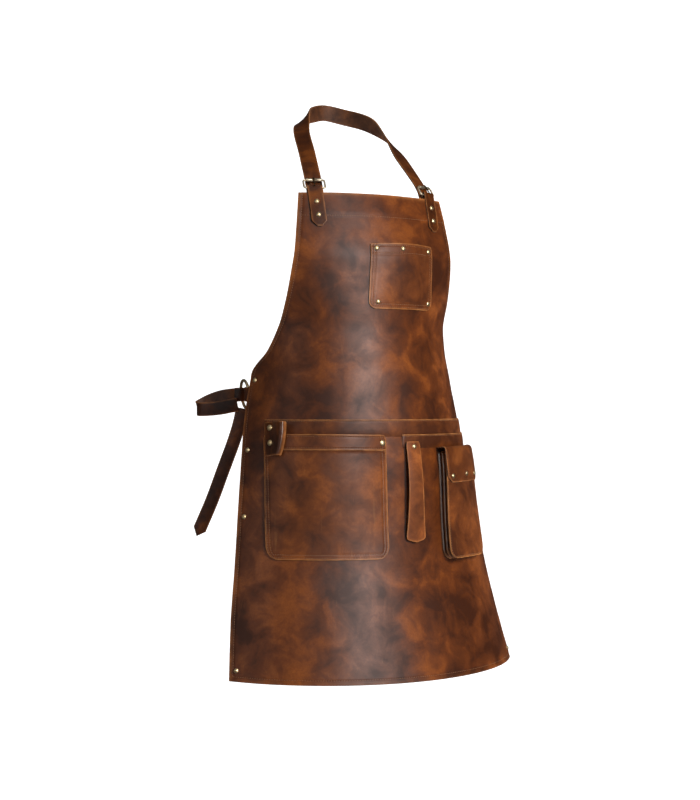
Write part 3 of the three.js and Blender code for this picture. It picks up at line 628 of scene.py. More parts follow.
def apronSheet():
    edges, topRows, hemRows = apron["edges"], apron["topRows"], apron["hemRows"]
    bibRows, skirtRows = apron["bibRows"], apron["skirtRows"]
    hemStart = sheet["length"] - hemRows[0]
    drops = topRows + [lerp(topRows[-1], cornerDrop, i / bibRows) for i in range(1, bibRows + 1)]
    drops += [lerp(cornerDrop, hemStart, i / skirtRows) for i in range(1, skirtRows + 1)]
    drops += [sheet["length"] - row for row in hemRows[1:]]
    lastColumn = apron["columns"] + 2 * (len(edges) - 1)

    def place(column, row):
        drop = drops[row]
        half = halfWidth(drop)
        across = stops(-half, half, edges, apron["columns"])[column]
        inside = half - abs(across)
        groove = apron["groove"] * (1 if abs(inside - apron["seamIn"]) < 0.1 and drop > 2 else 0)
        if abs(drop - (sheet["length"] - apron["hemSeam"])) < 0.1:
            groove = apron["groove"]
        return onSheet(across, drop, bandStep(drop) - groove)

    def rim(column, row):
        drop = drops[row]
        half = halfWidth(drop)
        side = half - abs(stops(-half, half, edges, apron["columns"])[column])
        low = sheet["length"] - drop
        return max(rimValue(min(side, drop), apron["wornAndSheen"]), 0.5 * rimValue(low, apron["wornAndSheen"]))

    mesh = gridMesh(lastColumn, len(drops) - 1, place, rim)
    piece = finishPiece("apronSheet", mesh, hideSet, ["apron_body"])
    return thicken(piece, sheet["leather"], 0.7)


apronPiece = apronSheet()
print("sheet made")

# band and rail
bandSize = {"left": -239, "right": 276, "drop": 398, "height": 30}
railSize = {"left": 12, "right": 276, "drop": 424.3, "height": 24}
strip = {
    "seam": 3.0, "groove": 0.35, "wall": 1.6, "flat": 5, "thinSide": 0.6,
    "rows": (0, 0.7, 2.2, 3.0, 3.8, 6, 10, 16),
}


# strip sewn on the sheet: full thickness along its top edge, run out flat at its lower one
def stripPiece(name, size, node, base):
    left, right, drop, height = size["left"], size["right"], size["drop"], size["height"]
    columns = stops(left, right, [0, 0.8, 3.0], 70)
    drops = [drop + row for row in (*strip["rows"], height)]

    def lift(across, at):
        down = at - drop
        full = sheet["panel"] * (1 - clamp((down - strip["flat"]) / (height - strip["flat"] - 1)) ** 1.4)
        groove = strip["groove"] if abs(down - strip["seam"]) < 0.05 else 0.0
        side = 1 - strip["thinSide"] * clamp(1 - min(across - left, right - across) / 2.0)
        return base + sheet["seat"] + full * side - groove

    def place(column, row):
        return onSheet(columns[column], drops[row], lift(columns[column], drops[row]))

    mesh = gridMesh(len(columns) - 1, len(drops) - 1, place, lambda c, r: rimValue(drops[r] - drop))
    piece = thicken(finishPiece(name, mesh, pocketSet, [node]), strip["wall"], 0.4)
    seam = drop + strip["seam"]
    return piece, [(onSheet(a, seam, lift(a, seam)), sheetNormal(a, drop)) for a in columns[1:-1]]


bandPiece, bandSeam = stripPiece("waistBand", bandSize, "waist_band", 0.0)
railPiece, railSeam = stripPiece("toolRail", railSize, "tool_rail", 0.3)

# open pockets
panel = sheet["panel"]
gapeShape = {"belly": 0.35, "side": 0.8, "mouth": 1.3, "body": 0.9}
chestPocket = {
    "across": 33, "drop": 91, "topWidth": 132, "bottomWidth": 141, "height": 113, "corner": 14, "gape": 8,
    "hem": 20, "hemRise": 0.3, "hemEdgeWearAndSheen": 0.2, "chamfer": 3,
}
mainPocket = {
    "across": -130, "drop": 425, "topWidth": 218, "bottomWidth": 216, "height": 213, "corner": 22, "gape": 13,
    "hem": 27, "hemRise": 1.3, "hemEdgeWearAndSheen": 0.8, "chamfer": 7,
}
pocketSeam = {"insets": (3.4, 8.4), "hemInset": 4.0, "groove": 0.4}
pocketGrid = {"columns": 34, "edges": [0, 0.7, 2.4, 3.4, 4.4, 7.4, 8.4, 9.4, 13]}


def pocketLift(gape, u, v):
    belly = gapeShape["belly"]
    side = math.sin(math.pi * clamp(u)) ** gapeShape["side"]
    mouth = (1 - v) ** gapeShape["mouth"]
    body = max(0.0, math.sin(math.pi * (1 + v) / 2)) ** gapeShape["body"]
    return sheet["seat"] + gape * side * (mouth * (1 - belly) + belly * body)


def panelEdge(size, down):  # half the width at a distance below the top edge
    straight = size["height"] - size["corner"]
    half = lerp(size["topWidth"], size["bottomWidth"], down / size["height"]) / 2
    if down > straight:
        turn = math.asin(clamp((down - straight) / size["corner"]))
        half -= size["corner"] * (1 - math.cos(turn))
    if down < size["chamfer"]:
        half -= (size["chamfer"] - down) * 0.5
    return half


# rows of a panel below a start, through its straight stretch and its round corners
def panelRows(size, start):
    straight = size["height"] - size["corner"]
    rows = [lerp(start, straight, i / 30) for i in range(1, 31)]
    return rows + [straight + size["corner"] * math.sin(quarter(i, 12)) for i in range(1, 13)]


def faceHeight(size, across, drop):
    v = clamp((drop - size["drop"]) / size["height"])
    width = lerp(size["topWidth"], size["bottomWidth"], v)
    u = clamp((across - size["across"]) / width + 0.5)
    return pocketLift(size["gape"], u, v) + panel


def pocketPiece(name, size, node):
    edges, columns, hem = pocketGrid["edges"], pocketGrid["columns"], size["hem"]
    downs = [0, 0.6, 2, 3.2, 4, 4.8, 8] + [lerp(8, hem - 6, i / 3) for i in range(1, 4)]
    downs += [hem - 4.8, hem - 4, hem - 3.2, hem - 1.4, hem - 0.5, hem, hem + 0.7]
    downs += panelRows(size, hem + 0.7)

    def offsetAt(column, down):
        half = panelEdge(size, down)
        return half, stops(-half, half, edges, columns)[column]

    def seamGroove(inside, down):
        near = min(abs(inside - inset) for inset in pocketSeam["insets"])
        nearHem = min(abs(down - hem + pocketSeam["hemInset"]), abs(down - pocketSeam["hemInset"]))
        return pocketSeam["groove"] * clamp(1 - near / 0.9) + pocketSeam["groove"] * clamp(1 - nearHem / 0.8)

    def place(column, row):
        down = downs[row]
        half, offset = offsetAt(column, down)
        v = down / size["height"]
        u = offset / lerp(size["topWidth"], size["bottomWidth"], v) + 0.5
        inside = min(half - abs(offset), size["height"] - down)
        fold = size["hemRise"] * clamp(1 - (down - hem + 0.5) / 0.9)
        out = pocketLift(size["gape"], u, v) + panel + fold - seamGroove(inside, down)
        return onSheet(size["across"] + offset, size["drop"] + down, out)

    def rim(column, row):
        down = downs[row]
        half, offset = offsetAt(column, down)
        # lighter line along the hem fold's lower edge: painted highlight where the edge catches light, partly
        # rubbed wear
        hemLine = size["hemEdgeWearAndSheen"] if hem - 1.6 < down < hem + 0.1 else 0.0
        return max(hemLine, rimValue(min(half - abs(offset), down, size["height"] - down), 3.6))

    mesh = gridMesh(columns + 2 * (len(edges) - 1), len(downs) - 1, place, rim)
    return thicken(finishPiece(name, mesh, pocketSet, [node]), panel, 0.6)


# line of a seam down one side, along the bottom and up the other side
def sideSeam(size, inset, start, count):
    pairs = []
    for i in range(count + 1):
        down = lerp(start, size["height"] - inset, i / count)
        pairs.append((size["across"] - panelEdge(size, down) + inset, size["drop"] + down))
    return denseLine(pairs + [(2 * size["across"] - a, d) for a, d in reversed(pairs)])


def pocketSeams(size):
    def height(across, drop):
        return faceHeight(size, across, drop) - 0.3

    def hemHeight(across, drop):
        return height(across, drop) + size["hemRise"]

    lines = [surfaceLine(sideSeam(size, inset, 1.5, 40), height) for inset in pocketSeam["insets"]]
    for down in (pocketSeam["hemInset"], size["hem"] - pocketSeam["hemInset"]):
        half = panelEdge(size, down) - 4
        drop = size["drop"] + down
        ends = [(size["across"] - half, drop), (size["across"] + half, drop)]
        lines.append(surfaceLine(denseLine(ends), hemHeight))
    return lines


chestPiece = pocketPiece("chestPocket", chestPocket, "chest_pocket")
mainPiece = pocketPiece("mainPocket", mainPocket, "main_pocket")
print("pockets made")

# cargo pocket and flap
cargo = {
    "across": 157, "drop": 456, "topWidth": 124, "bottomWidth": 124, "height": 190, "left": 19, "right": 13.5,
    "corner": 20, "chamfer": 0, "pleat": 5.0, "pleats": 2, "seamIn": 3.6, "groove": 0.4, "crown": 1.2,
}
flap = {"overlap": 3, "height": 62, "rise": 6, "chamfer": 12, "skew": 4, "bend": 10, "rows": 44, "crown": 1.4}


def cargoFace(across):
    return lerp(cargo["left"], cargo["right"], (across - cargo["across"]) / cargo["topWidth"] + 0.5)


def cargoFront():
    edges, columns = [0, 0.7, 2.6, 3.6, 4.6, 9], 24
    downs = [0, 2] + panelRows(cargo, 2)

    def offsetAt(column, down):
        half = panelEdge(cargo, down)
        offset = stops(-half, half, edges, columns)[column]
        return offset, min(half - abs(offset), cargo["height"] - down)

    def place(column, row):
        down = downs[row]
        offset, inside = offsetAt(column, down)
        groove = cargo["groove"] * clamp(1 - abs(inside - cargo["seamIn"]) / 1.0)
        crown = cargo["crown"] * math.sin(math.pi * clamp(offset / cargo["topWidth"] + 0.5))
        crown *= math.sin(math.pi * down / cargo["height"])
        across = cargo["across"] + offset
        return onSheet(across, cargo["drop"] + down, cargoFace(across) - groove + crown)

    def rim(column, row):
        return rimValue(offsetAt(column, downs[row])[1], 5.0)

    mesh = gridMesh(columns + 2 * (len(edges) - 1), len(downs) - 1, place, rim)
    return thicken(finishPiece("cargoFront", mesh, pocketSet, ["cargo_pocket"]), panel, 0.6)


# side wall in pleats, round the left, the bottom and the right of the front
def cargoGusset():
    corner, rows = cargo["corner"], 24
    straight = cargo["height"] - corner
    half = cargo["topWidth"] / 2
    leftSide = [(-half, lerp(0, straight, i / 26)) for i in range(26)]
    for i in range(11):
        turn = quarter(i, 10)
        leftSide.append((-half + corner * (1 - math.cos(turn)), straight + corner * math.sin(turn)))
    bottom = [(lerp(-half + corner, half - corner, i / 14), cargo["height"]) for i in range(1, 14)]
    path = leftSide + bottom + [(-a, d) for a, d in reversed(leftSide)]

    def fold(row):  # from -1 in a valley's middle to 1 on a ridge
        return math.cos(2 * math.pi * cargo["pleats"] * (1 - row / rows))

    def place(column, row):
        a, d = path[column]
        before, after = path[max(0, column - 1)], path[min(len(path) - 1, column + 1)]
        along = Vector((after[0] - before[0], after[1] - before[1])).normalized()
        inward = Vector((along.y, -along.x))
        if inward.dot(Vector((-a, cargo["height"] / 2 - d))) < 0:
            inward = -inward
        tuck = cargo["pleat"] * (0.5 - 0.5 * fold(row)) + 0.8
        across = cargo["across"] + a + inward.x * tuck
        drop = cargo["drop"] + d + inward.y * tuck
        wall = cargoFace(cargo["across"] + a) - 1.4
        return onSheet(across, drop, sheet["seat"] + wall * (1 - row / rows))

    # high rim value on the pleats' ridges: painted highlight where the ridges catch light, partly rubbed
    # folds
    mesh = gridMesh(len(path) - 1, rows, place, lambda column, row: clamp(0.45 + 0.4 * fold(row)))
    return thicken(finishPiece("cargoGusset", mesh, pocketSet, ["cargo_pocket"]), 1.0, 0)


# place of the flap at a share of its half width and a row from its hinge to its free edge
def flapPlace(side, row):
    bend, rise = flap["bend"], flap["rise"]
    hinge = cargo["drop"] - rise - sheet["clearance"]
    fall = clamp((row - bend - 1) / (flap["rows"] - bend - 1))
    half = cargo["topWidth"] / 2 + flap["overlap"]
    low = flap["height"] - rise
    cut = clamp((fall * low - (low - flap["chamfer"])) / flap["chamfer"]) * flap["chamfer"]
    across = cargo["across"] + side * (half - cut) + flap["skew"] * fall
    drop, out = hinge - panel, sheet["seat"] + panel
    if row > 0:
        turn = clamp((row - 1) / bend) * math.radians(90)
        out = cargoFace(across) + sheet["lay"] - rise + (rise + panel) * math.sin(turn)
        drop = hinge + rise - (rise + panel) * math.cos(turn)
    if row > bend + 1:
        drop = hinge + lerp(rise, flap["height"], fall)
        out += flap["crown"] * math.sin(math.pi * fall) * (1 - side * side)
    return across, drop, out


def pocketFlap():
    sides = strapSides([0, 0.012, 0.045, 0.062, 0.08, 0.14], 26)
    rows = flap["rows"]

    def place(column, row):
        return onSheet(*flapPlace(sides[column], row))

    def rim(column, row):  # the flap is about 65 to each side, and 1.7 between rows
        return rimValue(min((1 - abs(sides[column])) * 65, (rows - row) * 1.7))

    mesh = gridMesh(len(sides) - 1, rows, place, rim)
    return thicken(finishPiece("pocketFlap", mesh, flapSet, ["pocket_flap"]), panel, 0.6)


cargoPiece = cargoFront()
gussetPiece = cargoGusset()
flapCover = pocketFlap()
print("cargo pocket made")

# hammer strap and tool loop
hammer = {
    "across": 31, "drop": 437, "topWidth": 28, "bottomWidth": 41, "height": 175, "lift": 6, "point": 5,
    "flare": 3.2, "topCorner": 0.03, "endCorner": 0.035, "cornerCut": 7, "dimple": 0.9, "crease": 0.5,
    "flat": 166,
}
toolLoop = {
    "across": -212, "drop": 404, "topWidth": 46, "bottomWidth": 33, "height": 58, "foot": 12, "arch": 11,
    "peak": 0.84,
}


def hammerLift(v):
    return panel + 2 * sheet["lay"] + hammer["lift"] * math.sin(math.pi * clamp(v))


def hammerPiece():
    sides = strapSides([0, 0.03, 0.1, 0.16])
    length, corner = hammer["flat"], hammer["endCorner"]
    end = 1 - corner
    downs = [0, 0.005, 0.02] + [lerp(0.02, end, i / 40) for i in range(1, 41)]
    downs += [end + corner * math.sin(quarter(i, 7)) for i in range(1, 8)]

    def place(column, row):
        v, s = downs[row], sides[column]
        full = half = lerp(hammer["topWidth"], hammer["bottomWidth"], v ** hammer["flare"]) / 2
        if v < hammer["topCorner"]:
            half -= (hammer["topCorner"] - v) * 60
        if v > end:
            half -= hammer["cornerCut"] * (1 - math.sqrt(max(0.0, 1 - ((v - end) / corner) ** 2)))
        sag = hammer["point"] * (1 - abs(s) * half / full) * clamp((v - 0.8) / 0.2) ** 2
        drop = hammer["drop"] + (hammer["height"] - hammer["point"]) * v + sag
        dimple = hammer["dimple"] * math.exp(-((v * length - 25) ** 2 + (s * half) ** 2) / 8)
        out = hammerLift(v) + panel - dimple - edgeCrease(s, hammer["crease"]) + 0.6 * (1 - s * s)
        return onSheet(hammer["across"] + s * half, drop, out)

    def rim(column, row):
        return rimValue(min((1 - abs(sides[column])) * 16, downs[row] * length, (1 - downs[row]) * length))

    mesh = gridMesh(len(sides) - 1, len(downs) - 1, place, rim)
    return thicken(finishPiece("hammerStrap", mesh, hammerSet, ["hammer_strap"]), panel, 0.6)


def loopPiece():
    columns, rows = 60, 24
    width, height, peak = toolLoop["topWidth"], toolLoop["height"], toolLoop["peak"]
    foot = toolLoop["foot"] / width

    def place(column, row):
        u, v = column / columns, row / rows
        across = toolLoop["across"] - width / 2 + lerp(width, toolLoop["bottomWidth"], v * v) * u
        drop = toolLoop["drop"] + height * v
        rise = clamp((u - foot) / (peak - foot))
        fall = clamp((u - peak) / (1 - peak))
        arch = rise * rise * (3 - 2 * rise) * math.sqrt(max(0.0, 1 - fall ** 2.4))
        base = faceHeight(mainPocket, across, drop) + sheet["lay"] + panel
        return onSheet(across, drop, base + toolLoop["arch"] * arch)

    def rim(column, row):
        u, v = column / columns, row / rows
        return rimValue(min(u * 42, (1 - u) * 42, v * height, (1 - v) * height))

    mesh = gridMesh(columns, rows, place, rim)
    return thicken(finishPiece("toolLoop", mesh, strapSet, ["tool_loop"]), panel)


hammerStrap = hammerPiece()
loopStrap = loopPiece()

# shoulder tabs and buckles
tab = {
    "across": 117, "shift": -1.5, "width": 26, "front": 61, "back": 34, "thickness": 2.2, "point": 9,
    "tip": 0.28, "crease": 0.45,
}
buckle = {
    "barRise": 9, "height": 18, "width": 40, "wire": 2.6, "bar": 3.4, "roller": 6, "lean": 18, "tongue": 2.4,
    "bend": 1.4,
}
foldRadius = buckle["wire"] * math.sqrt(0.5) + sheet["clearance"]


def atTab(side, a, b, c):
    return onSheet(side * tab["across"] + tab["shift"] + a, -c, b - sheet["leather"] / 2)


def tabAxes(side):
    across = side * tab["across"] + tab["shift"]
    origin = sheetPoint(across, 0) - sheetNormal(across, 0) * (sheet["leather"] / 2)
    around = (sheetPoint(across + 1, 0) - sheetPoint(across - 1, 0)).normalized()
    up = (sheetPoint(across, -1) - sheetPoint(across, 0)).normalized()
    return {"origin": origin, "around": around, "out": sheetNormal(across, 0), "up": up}


def inAxes(axes, a, b, c):
    return axes["origin"] + axes["around"] * a + axes["out"] * b + axes["up"] * c


def buckleAxes(side):
    axes = tabAxes(side)
    lean = math.radians(buckle["lean"])
    return {
        "origin": inAxes(axes, 0, 0, buckle["barRise"]), "around": axes["around"],
        "up": axes["up"] * math.cos(lean) - axes["out"] * math.sin(lean),
        "out": axes["out"] * math.cos(lean) + axes["up"] * math.sin(lean),
    }


def shoulderTab(side, word):
    outer = foldRadius + tab["thickness"]
    frontRows = 30
    route = [(outer, lerp(-tab["front"], buckle["barRise"], i / frontRows)) for i in range(frontRows)]
    for i in range(13):
        turn = quarter(i, 6)
        route.append((outer * math.cos(turn), buckle["barRise"] + outer * math.sin(turn)))
    route += [(-outer, lerp(buckle["barRise"], -tab["back"], i / 14)) for i in range(1, 15)]
    sides = strapSides([0, 0.03, 0.12, 0.16, 0.2])

    def place(column, row):
        b, c = route[row]
        s = sides[column]
        half = tab["width"] / 2
        if row < 8 and c < -tab["front"] + tab["point"]:
            half *= lerp(tab["tip"], 1, clamp((c + tab["front"]) / tab["point"]))
        if row < frontRows:
            b *= 1 - edgeCrease(s, tab["crease"]) / outer
        return atTab(side, s * half, b, c)

    def rim(column, row):
        return rimValue(min((1 - abs(sides[column])) * 13, 60 if row > 12 else row * 2.3), 4.5)

    mesh = gridMesh(len(sides) - 1, len(route) - 1, place, rim, flip=True)
    piece = finishPiece(f"shoulderTab_{word}", mesh, strapSet, [f"shoulder_tab_{word}"])
    thicken(piece, tab["thickness"])


# bent wire: a round section led along closed or open points
def wirePiece(name, points, radius, material, nodes, closed):
    curve = bpy.data.curves.new(name, "CURVE")
    curve.dimensions = "3D"
    curve.bevel_depth = radius * 0.001
    curve.bevel_resolution = 4
    curve.use_fill_caps = True
    line = curve.splines.new("POLY")
    line.points.add(len(points) - 1)
    for target, point in zip(line.points, points):
        target.co = (*(point * 0.001), 1)
    line.use_cyclic_u = closed
    holder = bpy.data.objects.new(name + "Line", curve)
    bpy.context.scene.collection.objects.link(holder)
    bpy.context.view_layer.update()
    data = bpy.data.meshes.new_from_object(holder.evaluated_get(bpy.context.evaluated_depsgraph_get()))
    bpy.data.objects.remove(holder)
    data.name = name
    data.materials.clear()
    addPiece(name, data, [material], nodes)


# turned part: a profile of (radius, height) spun about an axis
def turnedMesh(profile, origin, axis, segments=28):
    mesh = bmesh.new()
    verts = [mesh.verts.new((r, 0, h)) for r, h in profile]
    for a, b in zip(verts, verts[1:]):
        mesh.edges.new((a, b))
    bmesh.ops.spin(mesh, geom=list(mesh.verts) + list(mesh.edges), cent=(0, 0, 0), axis=(0, 0, 1),
                   dvec=(0, 0, 0), angle=math.radians(360), steps=segments, use_merge=True,
                   use_duplicate=False)
    bmesh.ops.remove_doubles(mesh, verts=mesh.verts, dist=0.001)
    bmesh.ops.recalc_face_normals(mesh, faces=mesh.faces)
    turn = Vector((0, 0, 1)).rotation_difference(axis).to_matrix()
    bmesh.ops.rotate(mesh, verts=mesh.verts, cent=(0, 0, 0), matrix=turn)
    bmesh.ops.translate(mesh, verts=mesh.verts, vec=origin)
    return mesh


def buckleSet(side, word):
    axes = buckleAxes(side)
    half = buckle["width"] / 2 - buckle["wire"] / 2
    turn = buckle["wire"] * buckle["bend"]
    outline = []
    corners = [(half - turn, turn, -90), (half - turn, buckle["height"] - turn, 0),
               (-half + turn, buckle["height"] - turn, 90), (-half + turn, turn, 180)]
    for x, z, start in corners:
        for i in range(7):
            angle = math.radians(start + 15 * i)
            outline.append(inAxes(axes, x + turn * math.cos(angle), 0, z + turn * math.sin(angle)))
    wirePiece(f"buckleFrame_{word}", outline, buckle["bar"] / 2, buckleBrass, [f"buckle_frame_{word}"], True)
    reach = buckle["width"] / 2 - 2 * buckle["wire"] - sheet["clearance"]
    radius = buckle["roller"] / 2
    wall = [(foldRadius, -reach), (radius * 0.86, -reach), (radius, -reach + 1), (radius, -2.2),
            (radius * 0.72, -1.5), (radius * 0.72, 1.5), (radius, 2.2), (radius, reach - 1),
            (radius * 0.86, reach), (foldRadius, reach), (foldRadius, -reach)]
    mesh = turnedMesh(wall, inAxes(axes, 0, 0, buckle["height"]), axes["around"])
    finishPiece(f"buckleRoller_{word}", mesh, [buckleBrass], [f"buckle_roller_{word}"])
    low = foldRadius + tab["thickness"] + sheet["clearance"] + buckle["tongue"] / 2
    high = radius + buckle["tongue"] / 2 - 0.2
    top = buckle["height"] + radius * 0.9
    tongue = [inAxes(axes, 0, lerp(low, high, i / 8), lerp(0, top, i / 8)) for i in range(9)]
    node = f"buckle_tongue_{word}"
    wirePiece(f"buckleTongue_{word}", tongue, buckle["tongue"] / 2, darkBrass, [node], False)


# straps led along a route
def curvePoint(points, t):
    count = len(points)
    at = t * (count - 1)
    i = min(int(at), count - 2)
    w = at - i
    p1, p2 = points[i], points[i + 1]
    p0 = points[i - 1] if i > 0 else p1 * 2 - p2
    p3 = points[i + 2] if i + 2 < count else p2 * 2 - p1
    d0 = max((p1 - p0).length ** 0.5, 1e-4)
    d1 = max((p2 - p1).length ** 0.5, 1e-4)
    d2 = max((p3 - p2).length ** 0.5, 1e-4)
    t1 = ((p1 - p0) / d0 - (p2 - p0) / (d0 + d1) + (p2 - p1) / d1) * d1
    t2 = ((p2 - p1) / d1 - (p3 - p1) / (d1 + d2) + (p3 - p2) / d2) * d1
    c2 = (p2 - p1) * 3 - t1 * 2 - t2
    c3 = (p1 - p2) * 2 + t1 + t2
    return p1 + t1 * w + c2 * w * w + c3 * w ** 3


# turns a mesh so that a chosen face looks the wanted way
def faceOutwards(mesh, choose):
    bmesh.ops.recalc_face_normals(mesh, faces=mesh.faces)
    mesh.faces.ensure_lookup_table()
    face, wanted = choose()
    face.normal_update()
    if face.normal.dot(wanted) < 0:
        bmesh.ops.reverse_faces(mesh, faces=mesh.faces)


strapShape = {"crown": 0.5, "crease": 0.35, "look": 0.002}


def strapPiece(name, route, width, thickness, steps, node, tip=0.0, flip=False):
    spine = [r[0] for r in route]
    lean = [r[1] for r in route]
    sides = strapSides([0, 0.03, 0.1, 0.13, 0.16])
    turned = -1 if flip else 1

    def axesAt(t):
        before, after = max(0, t - strapShape["look"]), min(1, t + strapShape["look"])
        along = (curvePoint(spine, after) - curvePoint(spine, before)).normalized()
        side = curvePoint(lean, t)
        side = (side - along * side.dot(along)).normalized()
        return along, side, along.cross(side) * turned

    def place(column, row):
        t, s = row / steps, sides[column]
        along, side, face = axesAt(t)
        bulge = strapShape["crown"] * (1 - s * s) - edgeCrease(s, strapShape["crease"], 0.13, 0.04)
        reach = tip * (1 - abs(s)) * clamp(1 - (1 - t) * 10)
        return curvePoint(spine, t) + side * (s * width / 2) + face * bulge + along * reach

    def rim(column, row):
        return rimValue((1 - abs(sides[column])) * width / 2)

    mesh = gridMesh(len(sides) - 1, steps, place, rim)
    faceOutwards(mesh, lambda: (mesh.faces[len(mesh.faces) // 2], axesAt(0.5)[2]))
    piece = finishPiece(name, mesh, strapSet, [node])
    return thicken(piece, thickness, 0.6)


neck = {"width": 30, "thickness": 3.0, "tuck": 42}
neckRoutes = {  # aside, back and rise as shares, turn in degrees, from the buckle to the back
    -1: [(0.849, 0.409, 0.48, 2), (0.7, 0.68, 0.8, 6), (0.5, 0.85, 0.97, 48), (0.26, 0.955, 1.045, 80)],
    1: [(0.83, 0.409, 0.48, -6), (0.76, 0.62, 0.765, 40), (0.6, 0.77, 0.94, 72), (0.3, 0.945, 1.045, 86)],
}


def neckHalf(side):
    axes, high = tabAxes(side), buckleAxes(side)
    outward = axes["around"] * side
    behind = foldRadius + tab["thickness"] + neck["thickness"] / 2 + sheet["lay"] + sheet["clearance"]
    behindRoller = buckle["roller"] / 2 + neck["thickness"] / 2 + sheet["clearance"]
    route = [(atTab(side, 0, -behind, -tuck), outward) for tuck in (neck["tuck"], neck["tuck"] / 2, 0)]
    route.append((inAxes(high, 0, -behind, 0), outward))
    route.append((inAxes(high, 0, -behindRoller, buckle["height"]), outward))
    for aside, back, rise, turn in neckRoutes[side]:
        angle = math.radians(turn)
        at = Vector((side * aside * tab["across"], (back - 1) * sheet["neckBack"],
                     (rise - 1) * sheet["neckDrop"]))
        route.append((at, outward * math.cos(angle) + Vector((0, 0, -1)) * math.sin(angle)))
    return route


for build in (shoulderTab, buckleSet):
    build(-1, "left")
    build(1, "right")
neckMiddle = (Vector((0, neck["thickness"] / 2, neck["width"] / 2)), Vector((0, 0, -1)))
neckPath = neckHalf(-1) + [neckMiddle] + list(reversed(neckHalf(1)))
strapPiece("neckStrap", neckPath, neck["width"], neck["thickness"], 150, "neck_strap")
print("neck strap and buckles made")

# waist rings and side strap
ring = {
    "drop": 354, "inset": 12, "back": 39, "radius": 25.5, "wire": 4.6, "bar": 5.4, "turn": 6.5, "lean": 0.13,
    "points": 48,
}
sideTab = {"height": 26, "length": 34, "slack": 5, "play": 1.7, "thickness": 2, "columns": 10}
sideStrap = {
    "width": 25, "thickness": 2.5, "reach": 84, "open": 16, "tail": 221, "sweep": 82, "tip": 14, "tuck": 5,
    "heading": 41.3,
}
# plan of the bow: out as a share of reach, near as a share of open, fall as a share of width
loopRoute = [
    (0.1, -0.29, 0.02), (0.3, -0.32, 0.08), (0.48, -0.31, 0.18), (0.72, -0.28, 0.45), (0.9, -0.1, 0.76),
    (0.99, 0.32, 0.98), (0.94, 0.75, 1.07), (0.81, 0.97, 1.08), (0.6, 1, 1.04), (0.39, 0.94, 0.96),
    (0.18, 0.85, 0.82), (0.036, 0.8, 0.74),
]
# hanging end: fall as a share of tail, out as a share of sweep
tailRoute = [(0, 0), (0.12, 0.07), (0.26, 0.19), (0.5, 0.44), (0.75, 0.7), (1, 1)]


def ringAxes(side):
    edgeAt = sheetPoint(side * halfWidth(ring["drop"]), ring["drop"])
    turn = math.radians(ring["turn"])
    return {
        "origin": Vector((edgeAt.x - side * ring["inset"], edgeAt.y + ring["back"], edgeAt.z)),
        "around": Vector((-side * math.sin(turn), math.cos(turn), 0)),
        "out": Vector((side * math.cos(turn), math.sin(turn), 0)), "up": Vector((0, 0, 1)),
    }


def ringPiece(side, word):
    axes = ringAxes(side)
    points = []
    for i in range(ring["points"]):
        angle = math.radians(360 / ring["points"] * i)
        rise = ring["radius"] * math.sin(angle)
        points.append(inAxes(axes, ring["radius"] * math.cos(angle), rise * ring["lean"], rise))
    wirePiece(f"sideRing_{word}", points, ring["bar"] / 2, agedBrass, [f"side_ring_{word}"], True)


def ringTab(side, word):
    axes = ringAxes(side)
    slack, columns = sideTab["slack"], sideTab["columns"]
    outer = ring["wire"] / 2 + sideTab["play"] + sideTab["thickness"]
    inward = side * (halfWidth(ring["drop"]) - sideTab["length"])

    def near(up):
        return inAxes(axes, -ring["radius"], 0, up)

    def far(up):
        return onSheet(inward, ring["drop"] - up, -sheet["leather"] - sheet["lay"] - outer)

    length = (near(0) - far(0)).length
    route = [(lerp(length, -slack, i / 16), outer) for i in range(16)]
    route += [(-slack - outer * math.sin(quarter(i, 6)), outer * math.cos(quarter(i, 6))) for i in range(13)]
    route += [(lerp(-slack, length, i / 16), -outer) for i in range(1, 17)]

    def place(column, row):
        up = (column / columns - 0.5) * sideTab["height"]
        a, b = route[row]
        start = near(up)
        along = (far(up) - start) / length
        out = Vector((-along.y, along.x, 0)).normalized()
        return start + along * a + out * b

    mesh = gridMesh(columns, len(route) - 1, place, lambda c, r: rimValue(min(c, columns - c) * 2.6))
    faceOutwards(mesh, lambda: (
        max(mesh.faces, key=lambda f: (f.calc_center_median() - far(0)).length), near(0) - far(0)))
    piece = finishPiece(f"sideTab_{word}", mesh, strapSet, [f"side_tab_{word}"])
    thicken(piece, sideTab["thickness"], 0.4)


def strapAxes():
    axes = ringAxes(-1)
    heading = math.radians(sideStrap["heading"])
    away = Vector((-math.cos(heading), math.sin(heading), 0))
    near = Vector((-away.y, away.x, 0))
    return {"ring": axes, "away": away, "near": near, "rear": inAxes(axes, ring["radius"], 0, 0)}


def atStrap(axes, a, c, up):
    return axes["rear"] + axes["away"] * a + axes["near"] * c + Vector((0, 0, up))


def strapFold(axes):
    half = sideStrap["width"] / 2
    bow = ring["radius"] - math.sqrt(ring["radius"] ** 2 - half ** 2)
    inward = axes["ring"]["around"] * (-bow / 2)
    radius = (ring["wire"] + bow + sideStrap["thickness"]) / 2 + sheet["lay"]
    c = inward.dot(axes["near"])
    return {"a": inward.dot(axes["away"]), "c": c, "radius": radius, "front": c + radius}


def sideStrapLoop():
    axes = strapAxes()
    fold = strapFold(axes)
    up = Vector((0, 0, 1))
    route = [(atStrap(axes, fold["a"] + 2 * fold["radius"], fold["front"], 0), up)]
    for i in range(7):
        angle = math.radians(90 + 30 * i)
        a = fold["a"] + fold["radius"] * math.cos(angle)
        c = fold["c"] + fold["radius"] * math.sin(angle)
        route.append((atStrap(axes, a, c, 0), up))
    for out, nearer, fall in loopRoute:
        a, c = out * sideStrap["reach"], nearer * sideStrap["open"]
        route.append((atStrap(axes, a, c, -fall * sideStrap["width"]), up))
    strapPiece("sideStrap", route, sideStrap["width"], sideStrap["thickness"], 120, "side_strap")


